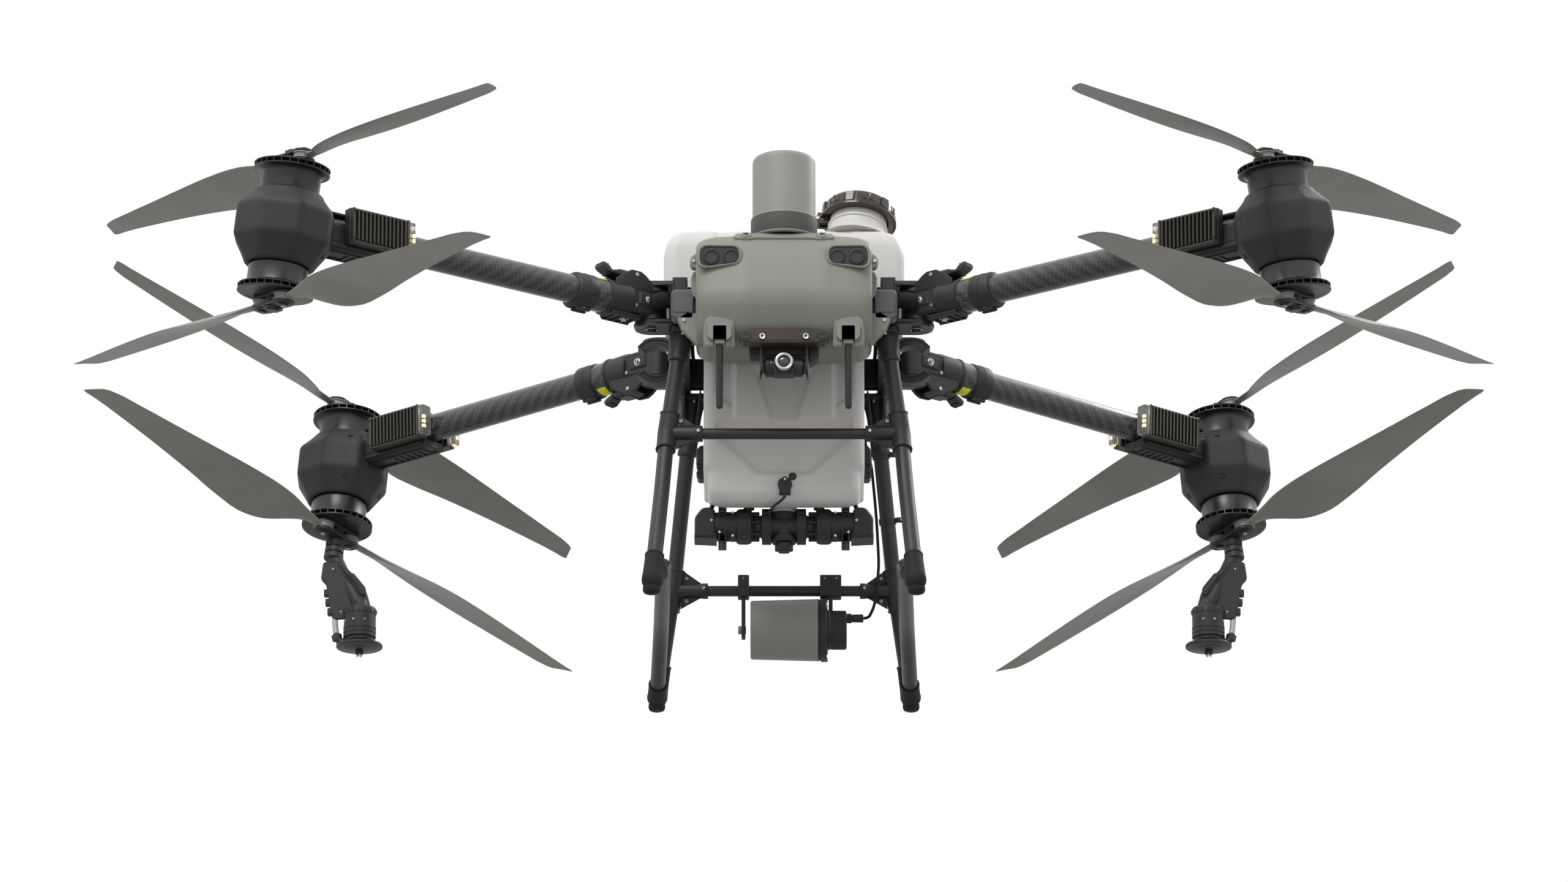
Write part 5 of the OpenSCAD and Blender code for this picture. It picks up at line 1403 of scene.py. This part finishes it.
# radar cable and the clips that hold it to the leg
CABLE = [(142, 313, 148), (152, 313, 150), (162, 300, 168), (166, 290, 200), (170, 292, 240),
         (166, 292, 330),
         (157, 281, 425), (148, 275, 455), (136, 268, 520), (138, 262, 560), (150, 262, 574),
         (168, 262, 575)]
piece("radar_cable_sheath", sweep(smooth_path(CABLE, soft=0.95), 2.6, 16), "rubber", "airframe",
      ("radar_cable",))
p, s = [], []
for t in (0.36, 0.7):
    a, b = np.array(CROSS_R, float), np.array(R_LEG[0], float)
    c = a + (b - a) * t
    p.append(put(tube(15.6, 13.3, 11, 44, 0.5, -5.5), aim(c, b)))
    q = np.array(c) + np.array((22, -4, 2))
    p.append(span(q - (7, 3, 4.5), q + (6, 3, 4.5), 1))
    s.append(put(hexhead(5.4, 2), move(q + (5.4, 0, 0)), rot("y", 90)))
    s.append(put(hexhead(5.4, 2), move(q + (3, -3, 0)), rot("x", 90)))
piece("cable_clips", join(*p), "plastic", "airframe")
piece("cable_clip_screws", join(*s), "steel", "airframe")


# ---------- centre frame ----------
RAIL_IN, RAIL_OUT, RAIL_LOW, RAIL_TOP = 168, 194, 545, 605
RAIL_FRONT, RAIL_REAR = -232, 420
RAIL_MID, RAIL_MID_Z = (RAIL_IN + RAIL_OUT) / 2, (RAIL_LOW + RAIL_TOP) / 2
RAIL_RIBS = (-230, -154, -112, -78, -28, 22, 72, 122, 172, 206, 268, 300, 340, 380, 418)
RAIL_HOLES = (-3, 97, 365)
RAIL_BOLTS = (-205, -60, 47, 147, 250, 360)
FLANGE = 4
BEAM_Y = (-116, 216)
BAY_HALF = 112
CHEEK_Z, CHEEK_T = 33.6, 6.2


def cheeks(x, y, z):
    """The two cheeks of a hinge bracket beside the frame, each with a washer and ribs."""
    b = []
    outline = fillet_loop([(RAIL_IN, y - 34), (x, y - 32), (x + 31, y - 12), (x + 31, y + 12), (x, y + 32),
                           (RAIL_IN, y + 34)], [4, 26, 16, 16, 26, 4], 6)
    for up in (1, -1):
        zz = z + up * CHEEK_Z
        b.append(put(prism(outline, CHEEK_T, 1.2, -CHEEK_T / 2), move(0, 0, zz)))
        b.append(put(lathe([(8, 0), (14, 0), (14, 3.2), (12.6, 4.2), (8, 4.2)], 40),
                     move(x, y, zz + up * 3), rot("x", 90 - up * 90)))
        for k in (-22, -8, 8, 22):
            b.append(span((170, y + k - 1.3, zz + up * 3 - 4),
                          (206 - abs(k) * 0.2, y + k + 1.3, zz + up * 3 + 4), 0.6))
    return b


def cheek_bolts(x, y, z):
    """The hinge pin's nuts and the bolts of the cheeks, from above and from below."""
    s = []
    for up, disc, disc_h, nut, nut_h in ((1, 11, 2.2, 14, 6.4), (-1, 10, 2, 13, 5)):
        turn = rot("x", 90 - up * 90)
        s.append(put(join(cyl(disc, disc_h, 36, 0.5), hexhead(nut, nut_h)), move(x, y, z + up * 39.4), turn))
        for k in (-26, 26):
            s.append(put(hexhead(7.5, 3), move(176, y + k, z + up * 36.6), turn))
    return s


def side_rail():
    """An I-shaped rail with ribs and bushed holes."""
    y0, y1 = RAIL_FRONT + 0.4, RAIL_REAR - 0.4
    rail = [span((RAIL_IN + 0.2, y0, z0), (RAIL_OUT - 0.2, y1, z1), 1.2)
            for z0, z1 in ((545.2, 552), (598, 604.8))]
    rail.append(span((177, y0, RAIL_LOW + FLANGE), (185, y1, RAIL_TOP - FLANGE), 0.8))
    for y in RAIL_RIBS:
        rail.append(span((RAIL_IN + 1.4, y - 2, RAIL_LOW + FLANGE),
                         (RAIL_OUT - 1.2, y + 2, RAIL_TOP - FLANGE), 0.8))
    for y in RAIL_HOLES:
        rail.append(put(lathe([(7, -13), (11, -13), (11, 13), (7, 13)], 36, closed=True),
                        move(RAIL_MID, y, RAIL_MID_Z), rot("y", 90)))
    return rail


def centre_frame_pieces():
    dark, bolts = [], []
    for _, S in SIDES:
        dark += [put(q, S) for q in side_rail()]
        for y in RAIL_BOLTS:
            bolts.append(put(hexhead(6.4, 2.6), S, move(RAIL_MID, y, 604.8)))
            bolts.append(put(hexhead(6.4, 2.6), S, move(RAIL_MID, y, 545.2), rot("x", 180)))
        for hinge in (FRONT_HINGE, REAR_HINGE):
            dark += [put(q, S) for q in cheeks(*hinge)]
            bolts += [put(q, S) for q in cheek_bolts(*hinge)]
    for y in BEAM_Y:
        for k in (-11, 11):
            for x0, x1 in ((-RAIL_IN, -BAY_HALF), (BAY_HALF, RAIL_IN)):
                dark.append(span((x0, y + k - 1.6, RAIL_LOW + FLANGE),
                                 (x1, y + k + 1.6, RAIL_TOP - FLANGE), 0.6))
    piece("centre_frame_trim", join(*dark), "frame", "airframe", angle=34)
    piece("centre_frame_bolts", join(*bolts), "steel", "airframe", ("fasteners",))


LOOMS = (([(200, -160, 590), (199, -120, 594), (199, 20, 596), (199, 140, 600), (199, 196, 606)], 4.2),
         ([(165, -214, 590), (163, -120, 588), (163, 40, 590), (163, 150, 588), (160, 236, 590)], 3.4))


def wire_looms():
    looms = [put(sweep(smooth_path(points, soft=0.9), r, 12), S) for _, S in SIDES for points, r in LOOMS]
    piece("wire_looms", join(*looms), "rubber", "airframe")


# ---------- cable covers and bellows ----------
COVER_Y, COVER_DEPTH = -233, 29
COVER = fillet_loop([(155, 517), (190, 518), (197, 526), (197, 566), (192, 573), (157, 573)],
                    [9, 9, 8, 8, 8, 9], 5)
BELLOWS = [(193, -247, 556), (206, -243, 560), (216, -233, 562), (222, -222, 563)]
BELLOWS_RIBS, BELLOWS_R, BELLOWS_WAVE = 10, 12.5, 2.0


def cable_cover(side, S, replaces):
    cover = join(put(prism(COVER, COVER_DEPTH, 3.4), S, move(0, COVER_Y, 0), rot("x", 90)),
                 put(span((156, -248, 536), (153.6, -238, 556), 0.8), S),
                 put(span((158, -263.6, 530), (192, -261, 560), 1.1), S))
    piece(side + "_cable_cover", cover, "grey", "airframe", replaces, angle=36)


def bellows(side, S):
    """A ribbed sleeve between the cable cover and the front arm's hinge."""
    route = smooth_path(BELLOWS, soft=0.8)
    along = np.concatenate([[0], np.cumsum(np.linalg.norm(np.diff(route, axis=0), axis=1))])
    steps = 6 * BELLOWS_RIBS + 1
    t = np.linspace(0, along[-1], steps)
    fine = np.stack([np.interp(t, along, route[:, k]) for k in range(3)], 1)
    r = BELLOWS_R + BELLOWS_WAVE * np.cos(np.arange(steps) * 2 * PI / 6)
    r[:2], r[-2:] = 13, 13
    ob = piece(side + "_arm_bellows", put(sweep(fine, r, 28), S), "rubber", None, angle=60)
    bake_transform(ob)


# ---------- sprinklers ----------
SPRAY_PLACE = (777, 640, 185)
SHIELD_Y = 650
SHIELD = fillet_loop([(815, 354), (846, 354), (850, 320), (840, 310), (836, 290), (832, 264), (826, 243),
                      (799, 245), (756, 262), (766, 300), (794, 334)],
                     [4, 6, 6, 4, 4, 4, 8, 8, 8, 14, 12], 4)
SHIELD_BACK = fillet_loop([(812, 350), (842, 350), (838, 300), (822, 262), (762, 262), (772, 300),
                           (797, 332)], [4, 6, 6, 10, 8, 14, 12], 4)
POCKET = fillet_loop([(800, 330), (790, 332), (766, 302), (768, 288), (776, 290)], [4, 4, 5, 4, 4], 3)
COLLAR = [(9, 138), (13, 138), (16, 140), (16, 152), (14, 153), (14, 155), (17.4, 156), (17.4, 164),
          (15, 165), (15, 168), (18, 169), (18, 176), (16, 178), (9, 178)]
MOTOR = [(20, 22), (28.6, 22), (30, 23.4), (30, 27), (29, 28), (29, 30), (30, 31), (30, 35), (29, 36),
         (29, 38), (30, 39), (30, 43), (29.2, 44), (29.2, 66), (30, 66.6), (30, 76), (28, 79.6), (18, 82),
         (14, 88), (13, 94)]
DISC = [(4, -1), (14, -1), (30, 1.6), (38, 4.4), (40, 4.0), (42, 5.4), (42, 9), (41, 10.4), (36, 10.6),
        (18, 10.2), (12, 12), (10, 15), (4, 15)]
SPRAY_HOSE = [(824, 648, 262), (823, 645, 240), (820, 640, 216)]


def sprinkler_body():
    pod = at_pod("rear")
    at = move(SPRAY_PLACE)
    # collar under the hub and the two neck rings
    p = [put(lathe(COLLAR, 44), pod, FLIP)]
    for k in range(20):
        p.append(put(span((15.2, -1.2, 141), (17, 1.2, 151), 0.5), pod, FLIP, rot("z", k * 18)))
    # flat shield that faces the front, with its ribs, pocket and clips
    y = SHIELD_Y
    p.append(side_prism(SHIELD, y - 12, y - 6, 2))
    p.append(side_prism(SHIELD_BACK, y - 6, y + 12, 3))
    for (x0, z0), (x1, z1) in (((818, 350), (776, 276)), ((812, 346), (768, 276))):
        p.append(rod((x0, y - 12, z0), (x1, y - 12, z1), 2.0, 12))
    p.append(side_prism(POCKET, y - 16, y - 8, 1.6))
    for k in range(3):
        p.append(rod((796 - k * 3, y - 16, 326 - k * 2), (774 - k * 2, y - 16, 297 - k * 1.5), 1.1, 10))
    for x, z in ((839, 296), (836, 278), (832, 260)):
        p.append(span((x - 4, y - 10, z - 7), (x + 5, y + 4, z + 6), 1.6))
    neck = (pod @ np.array((0, 0, -172.0, 1)))[:3] + np.array((1, 0, 2)) + np.array((0, 0, 4))
    foot = np.array(SPRAY_PLACE, float) + np.array((0, 0, 82))
    p.append(put(sweep(smooth_path([tuple(neck), (803.0, 651.0, 318.0), tuple(foot)], soft=0.8), 13, 28)))
    # motor
    p.append(put(lathe(MOTOR, 64), at))
    for k in range(16):
        p.append(put(span((28, -2.4, 68), (31.2, 2.4, 76), 0.8), at, rot("z", k * 22.5)))
    p.append(put(lathe([(18, 15.8), (26, 15.8), (27, 17), (27, 22), (18, 22)], 48), at))
    return join(*p)


def sprinkler_screws():
    at = move(SPRAY_PLACE)
    s = [put(hexhead(4.4, 1.8), at, rot("z", a), move(29.2, 0, 52), rot("y", 90))
         for a in (-110, -70, -30, 150)]
    s += [put(hexhead(3.4, 1.2), move(x, SHIELD_Y - 12, z), rot("x", 90))
          for x, z in ((812, 258), (828, 340))]
    return join(*s)


def sprinkler_elbow():
    corner = [math.radians(60 * k) for k in range(6)]
    v, f = prism([(9.4 * math.cos(a), 9.4 * math.sin(a)) for a in corner], 13, 1.4)
    return join(put((v, f), mul(move(819, 639, 212), rot("y", 12)), move(0, 0, -10)),
                rod((817, 638, 203), (806, 638, 199), 7, 24))


def sprinkler_disc():
    d = [lathe(DISC, 80)]
    for k in range(36):
        d.append(put(span((39.6, -0.8, 4.6), (42.4, 0.8, 9.6), 0.4), rot("z", k * 10)))
    vane = side_prism([(14, -0.6), (30, 2.0), (37, 4.6), (37, 5.4), (14, 1)], -0.6, 0.6, 0.2)
    d += [put(vane, rot("z", k * 20)) for k in range(18)]
    d.append(lathe([(0.1, -9), (5, -9), (6.6, -8), (6.6, -2), (5, -1), (0.1, -1)], 28))
    for k in range(12):
        d.append(put(span((6, -0.8, -7.6), (7.6, 0.8, -2), 0.4), rot("z", k * 30)))
    return join(*d)


def sprinkler_pieces(side, S):
    arm, disc, at = f"rear_{side}_arm", side + "_spray_disc", move(SPRAY_PLACE)
    piece(side + "_sprinkler_body", put(sprinkler_body(), S), "plastic", arm,
          (side + "_spray_mount",), angle=34)
    piece(side + "_sprinkler_screws", put(sprinkler_screws(), S), "steel", arm)
    # hose from behind the shield to the elbow beside the disc
    hose = sweep(smooth_path(SPRAY_HOSE, soft=0.9), 5.4, 20)
    piece(side + "_sprinkler_hose", put(hose, S), "hose", arm, angle=60)
    piece(side + "_sprinkler_elbow", put(sprinkler_elbow(), S), "plastic", arm, angle=34)
    piece(side + "_sprinkler_disc", put(sprinkler_disc(), S, at), "black", disc, (disc,),
          angle=34)
    tip = lathe([(0.1, -13), (1.4, -12.6), (2, -11), (2, -8.6)], 16)
    tips = [put(tip, move(4 * math.cos(a), 4 * math.sin(a), 0)) for a in (0.3, 2.4, 4.5)]
    piece(side + "_sprinkler_tips", put(join(*tips), S, at), "steel", disc)


centre_frame_pieces()
wire_looms()
for side, S in SIDES:
    cable_cover(side, S, ("cable_boots",) if side == "left" else ())
    bellows(side, S)
for side, S in SIDES:
    sprinkler_pieces(side, S)

# ---------- materials of the carried-over solids ----------
CAD_MAT = {"carbon": "frame", "black_frame": "frame", "black_plastic": "plastic",
           "motor_metal": "motor", "pod_pad": "pad", "blade": "blade", "shell_grey": "shell",
           "lamp_glass": "lamp", "radar_grey": "radar", "camera_metal": "motor",
           "tank_plastic": "tank", "cap_plastic": "cap", "battery_case": "plastic",
           "cable_rubber": "rubber", "cover_grey": "grey", "steel": "steel"}
for sub in frame["record"]["subparts"]:
    ob = frame["nodes"][sub["node"]]
    for s in ob.material_slots:
        s.material = M[CAD_MAT[sub["material_slot"]]]

# ---------- floor, light, camera ----------
floor = bpy.data.meshes.new("floor")
floor.from_pydata([(-6, -6, 0), (6, -6, 0), (6, 6, 0), (-6, 6, 0)], [], [(0, 1, 2, 3)])
fo = bpy.data.objects.new("floor", floor)
bpy.context.scene.collection.objects.link(fo)
fm = bpy.data.materials.new("pale_floor")
fm.use_nodes = True
nt = fm.node_tree
pb = nt.nodes["Principled BSDF"]
pb.inputs["Roughness"].default_value = 0.8
noise = nt.nodes.new("ShaderNodeTexNoise")
noise.inputs["Scale"].default_value = 3
rp = nt.nodes.new("ShaderNodeValToRGB")
rp.color_ramp.elements[0].color = (0.80, 0.80, 0.80, 1)
rp.color_ramp.elements[1].color = (0.84, 0.84, 0.84, 1)
nt.links.new(noise.outputs["Fac"], rp.inputs["Fac"])
nt.links.new(rp.outputs["Color"], pb.inputs["Base Color"])
geo = nt.nodes.new("ShaderNodeNewGeometry")
clear = nt.nodes.new("ShaderNodeBsdfTransparent")
mix = nt.nodes.new("ShaderNodeMixShader")
nt.links.new(geo.outputs["Backfacing"], mix.inputs["Fac"])
nt.links.new(pb.outputs["BSDF"], mix.inputs[1])
nt.links.new(clear.outputs["BSDF"], mix.inputs[2])
nt.links.new(mix.outputs["Shader"], nt.nodes["Material Output"].inputs["Surface"])
floor.materials.append(fm)
fo.visible_shadow = False
fo.visible_diffuse = False
fo.visible_glossy = False

world = bpy.data.worlds.new("studio")
bpy.context.scene.world = world
world.use_nodes = True
sky = world.node_tree
back = sky.nodes["Background"]
place = sky.nodes.new("ShaderNodeNewGeometry")
split = sky.nodes.new("ShaderNodeSeparateXYZ")
fade = sky.nodes.new("ShaderNodeMapRange")
fade.inputs["From Min"].default_value = -0.6
fade.inputs["From Max"].default_value = 0.5
fade.inputs["To Min"].default_value = 0.42
fade.inputs["To Max"].default_value = 1.08
rays = sky.nodes.new("ShaderNodeLightPath")
seen = sky.nodes.new("ShaderNodeMix")
seen.inputs["B"].default_value = 1.0
sky.links.new(place.outputs["Incoming"], split.inputs["Vector"])
flip = sky.nodes.new("ShaderNodeMath")
flip.operation = "MULTIPLY"
flip.inputs[1].default_value = -1.0
sky.links.new(split.outputs["Z"], flip.inputs[0])
sky.links.new(flip.outputs["Value"], fade.inputs["Value"])
sky.links.new(rays.outputs["Is Camera Ray"], seen.inputs["Factor"])
sky.links.new(fade.outputs["Result"], seen.inputs["A"])
sky.links.new(seen.outputs["Result"], back.inputs["Strength"])
back.inputs["Color"].default_value = (1, 1, 1, 1)


def area(name, at, target, size, power):
    ld = bpy.data.lights.new(name, "AREA")
    ld.shape = "RECTANGLE"
    ld.size, ld.size_y = size
    ld.energy = power
    ob = bpy.data.objects.new(name, ld)
    bpy.context.scene.collection.objects.link(ob)
    a, b = np.array(at, float), np.array(target, float)
    m = aim(b, a)
    m[:3, 3] = a
    from mathutils import Matrix
    ob.matrix_world = Matrix(m.tolist())


area("key", (-1.6, -3.4, 4.2), (0, 0, 0.5), (2.6, 1.6), 120)
area("rim", (2.6, 2.2, 3.0), (0, 0, 0.5), (2.0, 1.2), 60)

cam = bpy.data.cameras.new("camera")
cam.lens = 181.9
cam.sensor_width = 36
cam.clip_end = 100
co = bpy.data.objects.new("camera", cam)
bpy.context.scene.collection.objects.link(co)
co.location = (0, -13.2706, -3.9120)
co.rotation_euler = (math.radians(107.924), 0, 0)
bpy.context.scene.camera = co
bpy.context.scene.view_settings.view_transform = "Standard"
